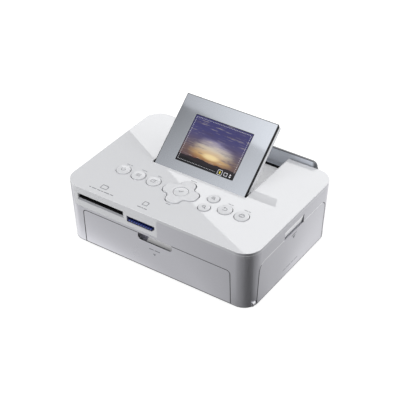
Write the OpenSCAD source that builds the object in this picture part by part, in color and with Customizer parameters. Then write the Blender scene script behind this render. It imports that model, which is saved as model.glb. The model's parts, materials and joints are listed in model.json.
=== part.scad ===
// Compact photo printer with a tilting display, a paper door in front and an
// ink door on the right. X runs to the right, Y to the back and Z up. The
// origin is on the table under the middle of the printer.

/* [Body] */
// Width of the top cover
cover_w = 178; // [174:1:186]
// Depth of the top cover, without the rear cover
cover_d = 127; // [125:1:133]
// Height of the cover's top face above the underside of the body
body_h = 54.9; // [54:0.1:58]
// Corner radius of the cover in plan
corner_r = 15; // [13:0.5:17]
// How far each side leans in between the top face and the underside
side_lean = 2.6; // [1.5:0.1:3.2]
// Wall thickness of the body shell
shell_t = 2; // [1.6:0.1:2.2]
// Thickness of the cover's top
top_t = 2; // [1.8:0.1:2.2]
// Depth of the cover's edge band
band_h = 4.8; // [4:0.1:5.2]
// Thickness of the base plate
base_t = 2; // [1.6:0.1:2.2]
// Height of the feet below the body
foot_h = 0.8; // [0.6:0.1:2]
// Radius of a foot
foot_r = 5; // [4:0.5:6]

/* [Display] */
// Width of the display panel
panel_w = 87; // [80:0.5:88]
// Length of the display panel from hinge edge to free edge
panel_l = 64.4; // [60:0.1:64.6]
// Thickness of the display panel
panel_t = 6.8; // [6.4:0.1:7.4]
// Thickness of the bezel plate
bezel_t = 1.6; // [1.4:0.1:1.8]
// Thickness of the dark middle frame
mid_t = 1.6; // [1.2:0.1:1.8]
// Width of the picture area
screen_w = 55; // [50:0.5:58]
// Height of the picture area
screen_l = 41.1; // [38:0.1:43]
// Margin between the hinge edge and the picture
screen_low = 9.1; // [7:0.1:11]
// Tilt of the panel as it stands
tilt = 40.2; // [30:0.2:45]
// Hinge axis behind the front face of the panel
pivot_in = 2.6; // [2.4:0.1:2.8]
// Hinge axis up from the lower edge of the panel
pivot_up = 1.6; // [1.4:0.1:2]
// Radius of the display's hinge pins
panel_pin_r = 1; // [0.8:0.05:1.1]
// Depth of the recess floor below the top face
recess_depth = 10.9; // [10.4:0.1:11.2]
// Gap between the display's hinge barrels and the recess, on each side
recess_gap = 0.4; // [0.3:0.05:1]

/* [Doors] */
// Width of the paper door
paper_door_w = 139.5; // [130:0.5:142]
// Height of the paper door's top edge
paper_door_h = 33.2; // [31:0.1:34]
// Length of the ink door
ink_door_l = 99.5; // [94:0.5:99.5]
// Height of the ink door's top edge
ink_door_h = 39.5; // [38.5:0.1:40]
// Gap around each door
door_gap = 0.35; // [0.25:0.05:0.5]
// Thickness of each door
door_t = 2; // [1.7:0.1:2.1]
// Radius of the door hinge pins
door_pin_r = 1; // [0.8:0.05:1.1]
// Height of the door hinge axes above the underside
door_axis_h = 3.2; // [3:0.1:3.6]

/* [Buttons] */
// Diameter of the large round buttons
key_d = 12; // [10:0.5:13]
// Diameter of the two zoom buttons
zoom_d = 10; // [8:0.5:11]
// Diameter of the button inside the direction pad
ok_d = 12.8; // [11:0.2:13]
// Width of the direction pad over its lobes
pad_w = 31.2; // [30.6:0.2:32]
// Width of one lobe of the direction pad
lobe_w = 13; // [12:0.2:13.4]
// How far the buttons stand above the cover
key_rise = 1; // [0.6:0.1:1.6]
// Travel of each button
key_travel = 0.5; // [0.3:0.05:0.6]

/* [Card slots] */
// Width of the large card's slot
big_slot_w = 43.6; // [43.2:0.1:44.4]
// Height of the large card's slot
big_slot_h = 3.6; // [3.4:0.1:3.7]
// Width of the small card's slot
small_slot_w = 24.4; // [24.2:0.1:24.8]
// Height of the small card's slot
small_slot_h = 2.4; // [2.3:0.1:2.8]

/* [Print mechanism] */
// Radius of the platen and capstan rollers
roller_r = 4.5; // [4:0.1:4.6]
// Length of the platen roller
platen_l = 104; // [100:1:106]
// Radius of the roller shafts
shaft_r = 1.5; // [1.2:0.1:1.8]
// Tooth module of the drive gears
gear_module = 0.9; // [0.86:0.02:0.92]
// Width of the drive gears
gear_t = 4; // [3:0.5:4.5]
// Thickness of the chassis plates
plate_t = 1.2; // [1:0.1:1.4]
// Radius of the motor
motor_r = 11; // [9:0.5:11.5]

/* [Hidden] */
$fn = 64;

fit = 0.05;            // running clearance of a shaft in its bore
seat = 0.02;           // clearance of a fixed pin in its bore
cut = 1;               // how far a cut runs past a face
hw = cover_w / 2;
hd = cover_d / 2;
posts = [[-hw + 11, -hd + 13.5], [hw - 12.5, -hd + 12.5],
    [-hw + 14, hd - 8.5], [hw - 12.5, hd - 12.5]];   // case posts and screws
corner_x = hw - corner_r;
corner_y = hd - corner_r;
shell_top = body_h - band_h;
top_under = body_h - top_t;
base_z = 0.2;
base_top = base_z + base_t;
base_gap = 0.15;       // gap between the base plate and the shell around it
bite = 0.5;            // how far a boss or rib runs into the wall that carries it
wall_reach = 8;        // depth of a cut that opens a side wall
case_post_r = 3;

// rear cover
rear_t = 1.8;          // wall of the rear cover
rear_gap = 1;          // gap between the top cover's rear edge and the rear cover
rear_in = hd + rear_gap;
rear_play = 0.2;       // gap between the rear cover's end walls and the top cover
rear_out = rear_in + rear_t;
rear_h = 59.7;         // top of the rear cover
rear_left = -hw + 25;
rear_right = hw - 17;
rear_corner = 4.5;
ledge_h = body_h - recess_depth;
ledge_d = 2;           // depth of the ledge under the display's free edge
ledge_t = 1.5;
ledge_gap = 0.3;
back_shift = (rear_out - hd) / 2;

// display recess
recess_wall = 2;
recess_rear = hd - 3.3;
floor_t = 1.8;

// display hinge
panel_gap = 0.4;       // gap between the folded display and the rear cover
pivot_y = rear_in - panel_gap - panel_l + pivot_up;
recess_front = pivot_y - 3.4;
barrel_x = panel_w / 2 + 1.2;   // outer end of a hinge barrel
recess_x = barrel_x + recess_gap;
panel_proud = 0.7;     // how far the closed panel stands above the cover
pivot_z = body_h + panel_proud - pivot_in;
barrel_r = 1.9;
barrel_l = 8;
pin_bite = 6;          // length of a display pin inside its barrel
boss_l = 5;
panel_corner = 2;
lcd_edge = 2.4;        // how far the display module reaches past the picture
lcd_t = 2.4;
screen_sink = 0.2;
window_corner = 0.5;
window_gap = 0.1;
lcd_gap = 0.3;
back_wall = 1.5;
display_boss = 3;      // half the height of the bosses that hold the display's pins
barrel_gap = 0.1;

// doors
paper_door_x = -0.25;  // middle of the paper door
paper_door_corner = 3;
paper_axis_y = -(hd - side_lean) + 2.3;
ink_door_y = -0.25;    // middle of the ink door
ink_door_corner = 7;
ink_axis_x = hw - side_lean - 2.2;
door_foot = 0.6;       // lower edge of the doors above the underside
knuckle_r = 2.2;
knuckle_l = 5;
scoop_w = 32.4;
scoop_h = 6.2;         // depth of the notch in the paper door
scoop_in = 8.5;        // depth of the finger cup behind the notch
scoop_drop = 4;        // how far the cup reaches below the notch
scoop_wall = 1.2;
scoop_corner = 3;
cup_low = 1.5;         // how far the cup's rim lies below the door's top edge
pull_gap = 0.4;        // gap between the ink door's ledge and the pull's walls
ledge_depth = 1.6;     // thickness of that ledge
pull_w = 29;           // width of the pull above the ink door
pull_h = 7.1;
pull_in = 6;

door_sweep = 3.9;      // room behind a door's hinge axis for its lower edge
door_boss = 3.6;       // length of the bosses that hold the door pins
pin_bite_door = 4;     // length of a door pin inside its door
pin_back = 0.5;        // how far a pin ends short of its bore's end
boss_front = 1.6;      // reach of the paper door's bosses in front of the hinge axis
boss_rear = 2.4;       // reach behind it
boss_up = 2.6;         // reach above it, and radius of the ink door's bosses
door_boss_gap = 0.5;
paper_boss_x = paper_door_w / 2 + door_gap;
ink_boss_y = ink_door_l / 2 + door_gap;
paper_pin_end = paper_boss_x + 3;
ink_pin_end = ink_boss_y + 3;
pull_top = ink_door_h + door_gap + pull_h;
pull_slit = ink_door_h + 2.6;
pull_end = ink_door_h + 1;
pull_back = hw - lean_at(pull_slit) - pull_in;

// fixings
foot_x = hw - 21;
foot_y = hd - 17.5;
foot_places = [[-foot_x, -foot_y], [foot_x, -foot_y], [-foot_x, foot_y], [foot_x, foot_y]];
foot_in = 0.6;         // how deep a foot sits in the base plate
case_head_r = 2.6;
case_head_h = 1.1;
case_screw_r = 1.25;
case_screw_l = 11;
socket_r = 1.1;        // hexagonal socket in a case screw
socket_d = 0.8;

// rear and side sockets
rear_foot_y = hd - side_lean + 1.2;
rear_foot_z = 0.5;
rear_knee = 47;
paper_exit_w = 106;
paper_exit_z = 15;
paper_exit_h = 5.4;
battery_x = rear_left + 26;
battery_w = 32;
battery_z = 25;
battery_h = 15;
battery_gap = 0.1;
inlet_x = rear_right - 7;
inlet_z = 9;
inlet_r = 2.9;
inlet_pin_r = 0.8;
inlet_room = 0.4;      // clearance round the inlet's bore in the rear cover
inlet_gap = 0.2;       // gap between the inlet and the rear cover
inlet_half = 4.8;      // half the width of the inlet's block
inlet_up = 5;          // reach of the block above its bore
inlet_l = 10;
vents = 9;
vent_x = 6;
vent_pitch = 5;
vent_w = 2;
vent_z = 26;
vent_l = 12;
groove_z = 46.8;
groove_w = 0.6;
end_lap = 1.3;         // how far the rear cover's end walls run into the body
ports = [[-28, 12.8, 5.4], [-12, 9, 7.6]];   // place along the side, width and height
port_z = 11;
port_wall = 0.5;
port_gap = 0.2;
port_step = 1;         // how far the tongue and the block sit behind the mouth
port_depth = 12;
tongue_t = 1.7;        // contact tongue of a port

// buttons
key_gap = 0.3;         // gap around each button in the cover
lip_t = 1;             // flange that holds a button under the cover
lip_w = 1.1;
lip_gap = 0.1;
crown_r = 30;
board_top = 49.3;
board_t = 0.9;
switch_top = board_top + 1.3;
switch_r = 2;
key_foot = switch_top + key_travel + fit;
key_row_y = recess_front - 22.6;
keys = [[-57, key_row_y - 0.2], [-42.2, key_row_y], [-27.3, key_row_y], [40.4, key_row_y], [55.6, key_row_y]];
zooms = [[25.2, key_row_y + 7], [25.2, key_row_y - 6.4]];
pad_x = -1;
pad_y = key_row_y;
pad_fillet = 4.4;
pad_end_r = 5;
pad_gap = 0.5;
pad_bottom = 51.9;
ok_gap = 0.5;
ok_shoulder = 0.9;
ok_rise = 0.2;         // how far the middle button stands above the pad
shoulder_room = 0.6;
ok_shoulder_top = 52.9;
ring_in = 9;
ring_out = 11.5;
ring_z = 50;
ring_t = 1.2;
ring_axis_z = ring_z + ring_t / 2;
trunnion_r = 0.4;
trunnion_out = 13.5;
trunnion_in = 9.8;
arm_in = 12.1;
arm_w = 3;
arm_far = 18.4;
arm_post = 2;
leg_d = 1.8;           // depth of the legs under the pad
board_x0 = -66;
board_x1 = 64;
board_y0 = key_row_y - 19.3;
board_y1 = recess_front - 3.9;
post_r = 2.2;
screw_r = 1;
screw_head_r = 1.9;
screw_head_h = 1;
screw_bite = 2.8;      // length of a board screw inside its post
screw_room = 0.2;      // clearance of a screw in its board and at the end of its hole
pad_stem_r = 1.2;      // stem of a direction switch
pad_stem_gap = 0.8;    // gap between a direction switch and the pad
board_posts = [[-24, board_y0 + 3], [-62, board_y1 - 4], [60, board_y0 + 4], [60, board_y1 - 4]];

// card slots
panel_x0 = -hw + 10.5;
panel_x1 = 3;
panel_z0 = 35.6;
big_slot_x = -51.7;    // middle of the large card's slot
big_slot_z = 44.1;     // floor of the large card's slot
big_mouth = 0.6;       // how much wider than the slot the mouth is, on each side
big_lip = 2.2;         // height of the slanted lip under the mouth
big_depth = 30;
small_slot_x = -12.7;
small_slot_z = 42.2;
small_frame_x = 0.9;   // blue plastic on each side of the small card's slot
small_frame_lo = 2.1;
small_frame_hi = 0.9;
small_depth = 28;
small_notch = 3;       // cut corner of the small card's mouth
socket_t = 0.8;
socket_lid = 0.6;      // top wall of the large card's socket
slot_room = 0.2;       // clearance round the small card's socket
leg_t = 2;             // legs of the large card's socket
socket_back = 2;       // how far the legs stop short of its rear end
socket_sink = 0.6;     // how far the sockets sit behind the front face
socket_y = -hd + side_lean + socket_sink;
main_board_z = 37.8;
main_board_t = 1.4;
main_x0 = -70;
main_x1 = 58;
main_y0 = -hd + 5;
main_y1 = main_y0 + 21.5;
board_edge = 1;        // how far the sockets sit behind the board's front edge
// chips under the main board, as [left, front, right, back, height], front and back from its front edge
chips = [[-8, 4.5, 8, 18.5, 1.4], [18, 6.5, 30, 14.5, 1.2], [-34, 5.5, -22, 17.5, 1.2]];
connector = [20, 2.5, 46, 17.5, 4];  // ribbon connector on top of the main board

// paper bay
guide_x = platen_l / 2 + 3;
guide_t = 2;
guide_y0 = -hd + 11.5;
guide_h = 24;
bridge_y0 = -hd + 13.5;
bridge_y1 = bridge_y0 + 2.5;
bridge_t = 1.5;

// chassis, rollers and gears, as places in the Y-Z plane
plate_x = platen_l / 2 + 6.8;   // inner face of the chassis side plates
plate_y1 = hd - 5.5;
plate_h = 40;
roller_z = 13;
idler_teeth = 20;
drive_teeth = 14;
pinion_teeth = 10;
tooth_share = 0.42;    // width of a tooth as a share of the pitch
tooth_root = 1.05;     // depth of the root and height of the tip, in modules
tooth_tip = 0.7;
flank_angle = 20;
train = gear_module * (idler_teeth + drive_teeth) / 2;   // centre distance in the train
idler = [hd - 38.5, roller_z];
platen = [idler[0] - train, roller_z];
capstan = [idler[0] + train, roller_z];
takeup_turn = 80;      // direction from the idler to the take-up spool
takeup = [idler[0] + train * cos(takeup_turn), idler[1] + train * sin(takeup_turn)];
motor_turn = 10;       // direction from the take-up spool to the motor
motor_reach = gear_module * (drive_teeth + pinion_teeth) / 2;
motor_at = [takeup[0] + motor_reach * cos(motor_turn), takeup[1] + motor_reach * sin(motor_turn)];
pinch_short = 4;       // how much shorter the pinch roller is, at each end
nip = 0.3;             // room for the paper between capstan and pinch roller
pinch = [capstan[0], capstan[1] + 2 * roller_r + nip];
supply = [idler[0] - 32, 27.5];
pickup = [supply[0] - 20, 27];
plate_y0 = pickup[0] - 4;
pickup_r = 8;
pickup_l = 24;
gear_x = -plate_x - plate_t - 1;   // right-hand face of the gears
gear_bore = shaft_r + seat;
bracket_x = gear_x - gear_t - 1;   // face of the motor's bracket
motor_room = 3.2;      // gap between the motor and the side wall
motor_shaft_r = 1;
motor_l = hw - side_lean - shell_t - motor_room + bracket_x - plate_t;
shaft_end = 1.2;       // how far a shaft runs past its plate or gear
head_pivot = [hd - 11.5, 36];
head_shaft_r = 2;
arm_x = platen_l / 2 - 1.5;
arm_t = 1.5;
arm_z0 = 39;
arm_z1 = 41.5;
arm_eye = 4;           // radius of the eye at each arm's pivot
head_y0 = platen[0] - 5.7;
head_y1 = head_y0 + 13;
head_z = 20;
head_l = platen_l - 2;
strip_t = 1;
strip_y0 = head_y0 + 3.5;
strip_y1 = strip_y0 + 5;
head_t = 3;            // thickness of the print head's bar
fin_t = 2;             // thickness of its cooling fins

capstan_phase = 180;   // a tooth of the capstan's gear points at the idler
idler_phase = mesh_phase(180, capstan_phase, drive_teeth, idler_teeth);
takeup_phase = mesh_phase(takeup_turn, idler_phase, idler_teeth, drive_teeth);
bracket_posts = [[idler[0] - 9, 37], [idler[0] + 25, 20], [idler[0] + 7, 38.2]];
bracket_y0 = idler[0] - 11.4;
bracket_y1 = idler[0] + 26.8;
bracket_z0 = 18;
bracket_z1 = 40;
lever_at = [hd - 15.5, 24];
lever_x = plate_x + plate_t + 1.6;
lever_t = 1.5;
lever_eye = 3.4;
lever_tip = [[lever_at[0] - 14, 36], [lever_at[0] - 9, 38.4]];  // corners of the lever's tip
hook_gap = 0.4;        // gap between the lever's hook and the cassette
hook_t = 1.8;
hook_y0 = lever_at[0] - 17;
hook_z0 = 31;
bracket_post_r = 1.6;
motor_nose_r = 3;
pinion_tail = motor_l - 2;   // depth of the pinion's shaft inside the motor
floor_gap = 3;         // gap between the paper guide and the chassis floor
pinion_bore = 0.5;     // bore of a gear that is one piece with its shaft
base_hole = [[-40, idler[0] - 15], [40, idler[0] + 20]];   // hole in the chassis floor
post_x = guide_x + guide_t / 2;
guide_posts = [[-post_x, bridge_y0], [post_x, bridge_y0],
    [-post_x, bridge_y0 + 10.5], [post_x, bridge_y0 + 10.5]];
pad_switch_at = [12.6, 4.2];

// ink cassette
cassette_x0 = -plate_x + 1.8;
cassette_x1 = lever_x + 2.4;
grip_x1 = hw - 10;
supply_shell = 9.5;
guide_y1 = supply[0] - supply_shell - 1.5;
takeup_shell = 8;
cassette_wall = 1.2;
spool_r = 3;
supply_roll = 7.4;
takeup_roll = 5.2;
end_web = 9;           // height of the webs between the cassette's two tubes
web_drop = 5;
web_t = 2;
slit_w = 5;            // slits that let the ribbon out of each tube
end_play = 0.4;
grip = [[supply[0] + 7, supply[0] + 29], [22, 33]];          // the grip's place in depth and height
rib_x = [grip_x1 - 11, grip_x1 - 7, grip_x1 - 3];
rib_w = 1.6;
rib_d = 1.2;
cassette_gap = 0.8;    // gap between the cassette and the cutout in the side plate

// Puts what is drawn about the middle of the body's underside in the part's frame
module placed() {
    translate([0, -back_shift, foot_h])
        children();
}

// Draws a shape of the Y-Z plane and gives it length along X from x0
module along_x(x0, length) {
    translate([x0, 0, 0])
        rotate([90, 0, 90])
            linear_extrude(length)
                children();
}

// Draws a shape of the X-Z plane and gives it length along Y from y0
module along_y(y0, length) {
    translate([0, y0 + length, 0])
        rotate([90, 0, 0])
            linear_extrude(length)
                children();
}

module rod(at, x0, x1, r) {
    along_x(x0, x1 - x0)
        translate(at)
            circle(r);
}

// A rod from a to b on one side, mirrored on the other
module side_rod(at, side, a, b, r) {
    x = span(side, a, b);
    rod(at, x[0], x[1], r);
}

module box(low, high) {
    translate(low)
        cube(high - low);
}

// Rectangle between two corners with round corners
module soft_rect(low, high, r) {
    translate([low[0] + r, low[1]])
        square([high[0] - low[0] - 2 * r, high[1] - low[1]]);
    translate([low[0], low[1] + r])
        square([high[0] - low[0], high[1] - low[1] - 2 * r]);
    for (x = [low[0] + r, high[0] - r], y = [low[1] + r, high[1] - r])
        translate([x, y])
            circle(r);
}

// The span from a to b on one side, lower end first
function span(side, a, b) = side < 0 ? [-max(a, b), -min(a, b)] : [min(a, b), max(a, b)];

function lean_at(z) = side_lean * (1 - z / body_h);

// The body's outer form between two heights, drawn in by inset
module body_form(inset, z0, z1) {
    r0 = corner_r - lean_at(z0) - inset;
    r1 = corner_r - lean_at(z1) - inset;
    for (x = [-corner_x, corner_x], y = [-corner_y, corner_y])
        translate([x, y, z0])
            cylinder(h = z1 - z0, r1 = r0, r2 = r1);
    along_y(-corner_y, 2 * corner_y)
        polygon([[-corner_x - r0, z0], [corner_x + r0, z0], [corner_x + r1, z1], [-corner_x - r1, z1]]);
    along_x(-corner_x, 2 * corner_x)
        polygon([[-corner_y - r0, z0], [corner_y + r0, z0], [corner_y + r1, z1], [-corner_y - r1, z1]]);
}

module body_ring(z0, z1, t) {
    difference() {
        body_form(0, z0, z1);
        body_form(t, z0 - cut, z1 + cut);
    }
}

// Outline of a door of width w and height h about x, from its foot up
module door_outline(x, w, h, corner, foot) {
    difference() {
        translate([x, 0])
            soft_rect([-w / 2, foot - 2 * corner], [w / 2, h], corner);
        translate([x - w, foot - 3 * corner])
            square([2 * w, 3 * corner]);
    }
}

module paper_door_outline(grow, foot) {
    door_outline(paper_door_x, paper_door_w + 2 * grow, paper_door_h + grow,
        paper_door_corner + grow, foot);
}

module ink_door_outline(grow, foot) {
    door_outline(ink_door_y, ink_door_l + 2 * grow, ink_door_h + grow, ink_door_corner + grow, foot);
}

// ---- casing ----

module base_plate() placed() color([0.80, 0.80, 0.82]) {
    difference() {
        body_form(shell_t + base_gap, base_z, base_top);
        box([-corner_x - cut, -cover_d, -cut], [corner_x + cut, paper_axis_y + door_sweep, base_top + cut]);
        box([ink_axis_x - door_sweep, ink_door_y - ink_boss_y - door_boss - door_boss_gap, -cut],
            [cover_w, ink_door_y + ink_boss_y + door_boss + door_boss_gap, base_top + cut]);
        for (at = foot_places)
            translate([at[0], at[1], base_z - cut])
                cylinder(h = foot_in + cut, r = foot_r + seat);
        for (at = posts) {
            translate([at[0], at[1], -cut])
                cylinder(h = base_top + 2 * cut, r = case_screw_r + seat);
            translate([at[0], at[1], -cut])
                cylinder(h = base_z + case_head_h + cut, r = case_head_r + seat);
        }
    }
}

module body_shell() placed() color([0.74, 0.74, 0.77]) {
    pull_x = hw - lean_at(pull_top) - shell_t;
    difference() {
        union() {
            difference() {
                body_ring(0, shell_top, shell_t);
                along_y(-hd - cut, wall_reach)
                    paper_door_outline(door_gap, -cut);
                along_x(hw - wall_reach, wall_reach + cut)
                    ink_door_outline(door_gap, -cut);
                along_x(hw - wall_reach, wall_reach + cut)
                    translate([-pull_w / 2, ink_door_h])
                        square([pull_w, door_gap + pull_h]);
                box([panel_x0, -hd - cut, panel_z0], [panel_x1, -hd + wall_reach, shell_top + cut]);
                box([rear_left - seat, hd - wall_reach, -cut],
                    [rear_right + seat, hd + cut, shell_top + cut]);
                for (port = ports)
                    box([-hw - cut, port[0] - port[1] / 2, port_z],
                        [-hw + wall_reach, port[0] + port[1] / 2, port_z + port[2]]);
            }
            // sloping back of the pull above the ink door, and its two ends
            along_y(-pull_w / 2 - scoop_wall, pull_w + 2 * scoop_wall)
                polygon([[pull_x + bite, pull_top], [pull_x + bite, pull_top + scoop_wall],
                    [pull_back - scoop_wall, pull_slit], [pull_back, pull_slit]]);
            for (y = [-pull_w / 2 - scoop_wall, pull_w / 2])
                along_y(y, scoop_wall)
                    polygon([[pull_x + bite, pull_top + scoop_wall], [pull_back - scoop_wall, pull_slit],
                        [pull_back - scoop_wall, pull_end], [pull_x + bite, pull_end]]);
            // bosses that hold the pins of the paper door
            for (side = [-1, 1])
                let (x = span(side, paper_boss_x, paper_boss_x + door_boss))
                    box([paper_door_x + x[0], paper_axis_y - boss_front, base_z],
                        [paper_door_x + x[1], paper_axis_y + boss_rear, door_axis_h + boss_up]);
            // knuckles that hold the pins of the ink door
            for (y = [ink_door_y - ink_boss_y - door_boss, ink_door_y + ink_boss_y])
                along_y(y, door_boss)
                    translate([ink_axis_x, door_axis_h])
                        circle(boss_up);
        }
        rod([paper_axis_y, door_axis_h], -paper_pin_end, paper_pin_end, door_pin_r + seat);
        along_y(-ink_pin_end, 2 * ink_pin_end)
            translate([ink_axis_x, door_axis_h])
                circle(door_pin_r + seat);
    }
}

module top_cover() placed() color([0.93, 0.93, 0.94]) {
    difference() {
        union() {
            difference() {
                body_form(0, shell_top, body_h);
                body_form(shell_t, shell_top - cut, top_under);
            }
            for (at = posts)
                translate([at[0], at[1], base_top])
                    cylinder(h = top_under + bite - base_top, r = case_post_r);
            for (at = board_posts)
                translate([at[0], at[1], board_top])
                    cylinder(h = top_under + bite - board_top, r = post_r);
            for (side = [-1, 1])
                translate([pad_x, pad_y, 0])
                    mirror([side < 0 ? 1 : 0, 0, 0]) {
                        box([arm_in, -arm_w / 2, ring_z - lip_gap], [arm_far, arm_w / 2, ring_z + ring_t]);
                        box([arm_far - arm_post, -arm_w / 2, ring_z - lip_gap],
                            [arm_far, arm_w / 2, top_under + bite]);
                    }
        }
        box([-recess_x, recess_front, shell_top - cut], [recess_x, hd + cut, body_h + cut]);
        display_pin_bore();
        for (at = keys)
            translate([at[0], at[1], top_under - cut])
                cylinder(h = top_t + 2 * cut, r = key_d / 2 + key_gap);
        for (at = zooms)
            translate([at[0], at[1], top_under - cut])
                cylinder(h = top_t + 2 * cut, r = zoom_d / 2 + key_gap);
        translate([pad_x, pad_y, top_under - cut])
            linear_extrude(top_t + 2 * cut)
                pad_outline(pad_gap);
        translate([pad_x, pad_y, 0])
            rod([0, ring_axis_z], -trunnion_out - screw_room, trunnion_out + screw_room, trunnion_r + fit);
        for (at = posts)
            translate([at[0], at[1], base_top - cut])
                cylinder(h = case_screw_l + cut, r = case_screw_r + seat);
        for (at = board_posts)
            translate([at[0], at[1], board_top - cut])
                cylinder(h = screw_bite + screw_room + cut, r = screw_r + seat);
    }
}

module display_pin_bore() {
    rod([pivot_y, pivot_z], -recess_x - boss_l + cut, recess_x + boss_l - cut, panel_pin_r + seat);
}

// Tray under the cover that the display folds into, open to the rear
module display_tray() placed() color([0.90, 0.90, 0.91]) {
    difference() {
        union() {
            box([-recess_x - recess_wall, recess_front - recess_wall, ledge_h - floor_t],
                [recess_x + recess_wall, recess_rear, top_under]);
            for (side = [-1, 1])
                let (x = span(side, recess_x, recess_x + boss_l))
                    box([x[0], pivot_y - display_boss, pivot_z - display_boss],
                        [x[1], pivot_y + display_boss, top_under]);
        }
        box([-recess_x, recess_front, ledge_h], [recess_x, hd, body_h]);
        display_pin_bore();
    }
}

module big_mouth_cut() {
    x0 = big_slot_x - big_slot_w / 2 - big_mouth;
    lip_y = -hd + lean_at(big_slot_z) + shell_t;
    box([x0, -hd - cut, big_slot_z], [x0 + big_slot_w + 2 * big_mouth, lip_y + cut,
        big_slot_z + big_slot_h + big_mouth]);
    along_x(x0, big_slot_w + 2 * big_mouth)
        polygon([[lip_y, big_slot_z + seat], [lip_y - 2 * shell_t, big_slot_z + seat],
            [lip_y - 2 * shell_t, big_slot_z - 2 * big_lip]]);
}

// Outline of the small card's mouth with its cut corner
module small_mouth(grow) {
    x0 = small_slot_x - small_slot_w / 2 - small_frame_x - grow;
    x1 = small_slot_x + small_slot_w / 2 + small_frame_x + grow;
    z0 = small_slot_z - small_frame_lo - grow;
    z1 = small_slot_z + small_slot_h + small_frame_hi + grow;
    polygon([[x0, z0], [x1 - small_notch, z0], [x1, z0 + small_notch], [x1, z1], [x0, z1]]);
}

module slot_panel() placed() color([0.90, 0.90, 0.92]) {
    difference() {
        intersection() {
            body_ring(panel_z0, shell_top, shell_t);
            box([panel_x0 + seat, -hd - cut, panel_z0 + seat],
                [panel_x1 - seat, -hd + wall_reach, shell_top]);
        }
        big_mouth_cut();
        along_y(-hd - cut, wall_reach)
            small_mouth(slot_room);
    }
}

module rear_profile() {
    polygon([[rear_foot_y, rear_foot_z], [rear_out, rear_knee], [rear_out, rear_h],
        [rear_in, rear_h], [rear_in, rear_knee], [rear_foot_y - rear_t, rear_foot_z]]);
}

module rear_cover() placed() color([0.42, 0.45, 0.50]) {
    difference() {
        intersection() {
            union() {
                along_x(rear_left, rear_right - rear_left)
                    rear_profile();
                for (x = [rear_left, rear_right - rear_t])
                    along_x(x, rear_t)
                        polygon([[rear_foot_y - rear_t - end_lap, rear_foot_z],
                            [hd - shell_t, shell_top - rear_play],
                            [hd + rear_play, shell_top - rear_play], [hd + rear_play, body_h],
                            [rear_in, rear_h - rear_corner], [rear_out, rear_h - rear_corner],
                            [rear_out, rear_knee], [rear_foot_y, rear_foot_z]]);
                box([-recess_x + ledge_gap, rear_in - ledge_d, ledge_h - ledge_t],
                    [recess_x - ledge_gap, rear_in + bite, ledge_h]);
            }
            along_y(0, cover_d)
                soft_rect([rear_left, -20], [rear_right, rear_h], rear_corner);
        }
        box([-paper_exit_w / 2, corner_y, paper_exit_z],
            [paper_exit_w / 2, cover_d, paper_exit_z + paper_exit_h]);
        box([battery_x - battery_w / 2, corner_y, battery_z],
            [battery_x + battery_w / 2, cover_d, battery_z + battery_h]);
        along_y(corner_y, hd)
            translate([inlet_x, inlet_z])
                circle(inlet_r + inlet_room);
        for (i = [0 : vents - 1])
            box([vent_x + i * vent_pitch, corner_y, vent_z],
                [vent_x + i * vent_pitch + vent_w, cover_d, vent_z + vent_l]);
        // groove that runs along the wall behind the display
        along_x(-recess_x, 2 * recess_x)
            translate([rear_in, groove_z])
                square(groove_w, center = true);
    }
}

module feet() placed() color([0.15, 0.15, 0.16]) {
    for (at = foot_places)
        translate([at[0], at[1], -foot_h])
            cylinder(h = foot_h + base_z + foot_in, r = foot_r);
}

module case_screws() placed() color([0.70, 0.70, 0.72]) {
    for (at = posts)
        translate([at[0], at[1], base_z])
            difference() {
                union() {
                    cylinder(h = case_head_h, r = case_head_r);
                    cylinder(h = base_t + case_screw_l - pin_back, r = case_screw_r);
                }
                translate([0, 0, -cut])
                    cylinder(h = cut + socket_d, r = socket_r, $fn = 6);
            }
}

module big_card_socket() placed() color([0.10, 0.10, 0.11]) {
    x0 = big_slot_x - big_slot_w / 2;
    difference() {
        union() {
            box([x0 - socket_t, socket_y, big_slot_z - socket_t],
                [x0 + big_slot_w + socket_t, socket_y + big_depth,
                    big_slot_z + big_slot_h + socket_lid]);
            for (x = [x0 - socket_t, x0 + big_slot_w + socket_t - leg_t])
                box([x, main_y0 + board_edge, main_board_z + main_board_t],
                    [x + leg_t, socket_y + big_depth - socket_back, big_slot_z]);
        }
        box([x0, socket_y - cut, big_slot_z],
            [x0 + big_slot_w, socket_y + big_depth - socket_t, big_slot_z + big_slot_h]);
    }
}

module small_card_socket() placed() color([0.10, 0.22, 0.55]) {
    x0 = small_slot_x - small_slot_w / 2;
    front = -hd + lean_at(small_slot_z) + socket_sink;
    difference() {
        union() {
            along_y(front, small_depth)
                small_mouth(0);
            box([x0, main_y0 + board_edge, main_board_z + main_board_t],
                [x0 + small_slot_w, front + small_depth - socket_back, small_slot_z - bite]);
        }
        box([x0, front - cut, small_slot_z],
            [x0 + small_slot_w, front + small_depth - socket_t, small_slot_z + small_slot_h]);
    }
}

module main_board() placed() color([0.10, 0.35, 0.20]) {
    difference() {
        union() {
            box([main_x0, main_y0, main_board_z], [main_x1, main_y1, main_board_z + main_board_t]);
            for (chip = chips)
                box([chip[0], main_y0 + chip[1], main_board_z - chip[4]],
                    [chip[2], main_y0 + chip[3], main_board_z]);
            box([connector[0], main_y0 + connector[1], main_board_z + main_board_t],
                [connector[2], main_y0 + connector[3], main_board_z + main_board_t + connector[4]]);
        }
        for (at = guide_posts)
            translate([at[0], at[1], main_board_z - cut])
                cylinder(h = main_board_t + 2 * cut, r = screw_r + screw_room);
    }
}

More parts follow.
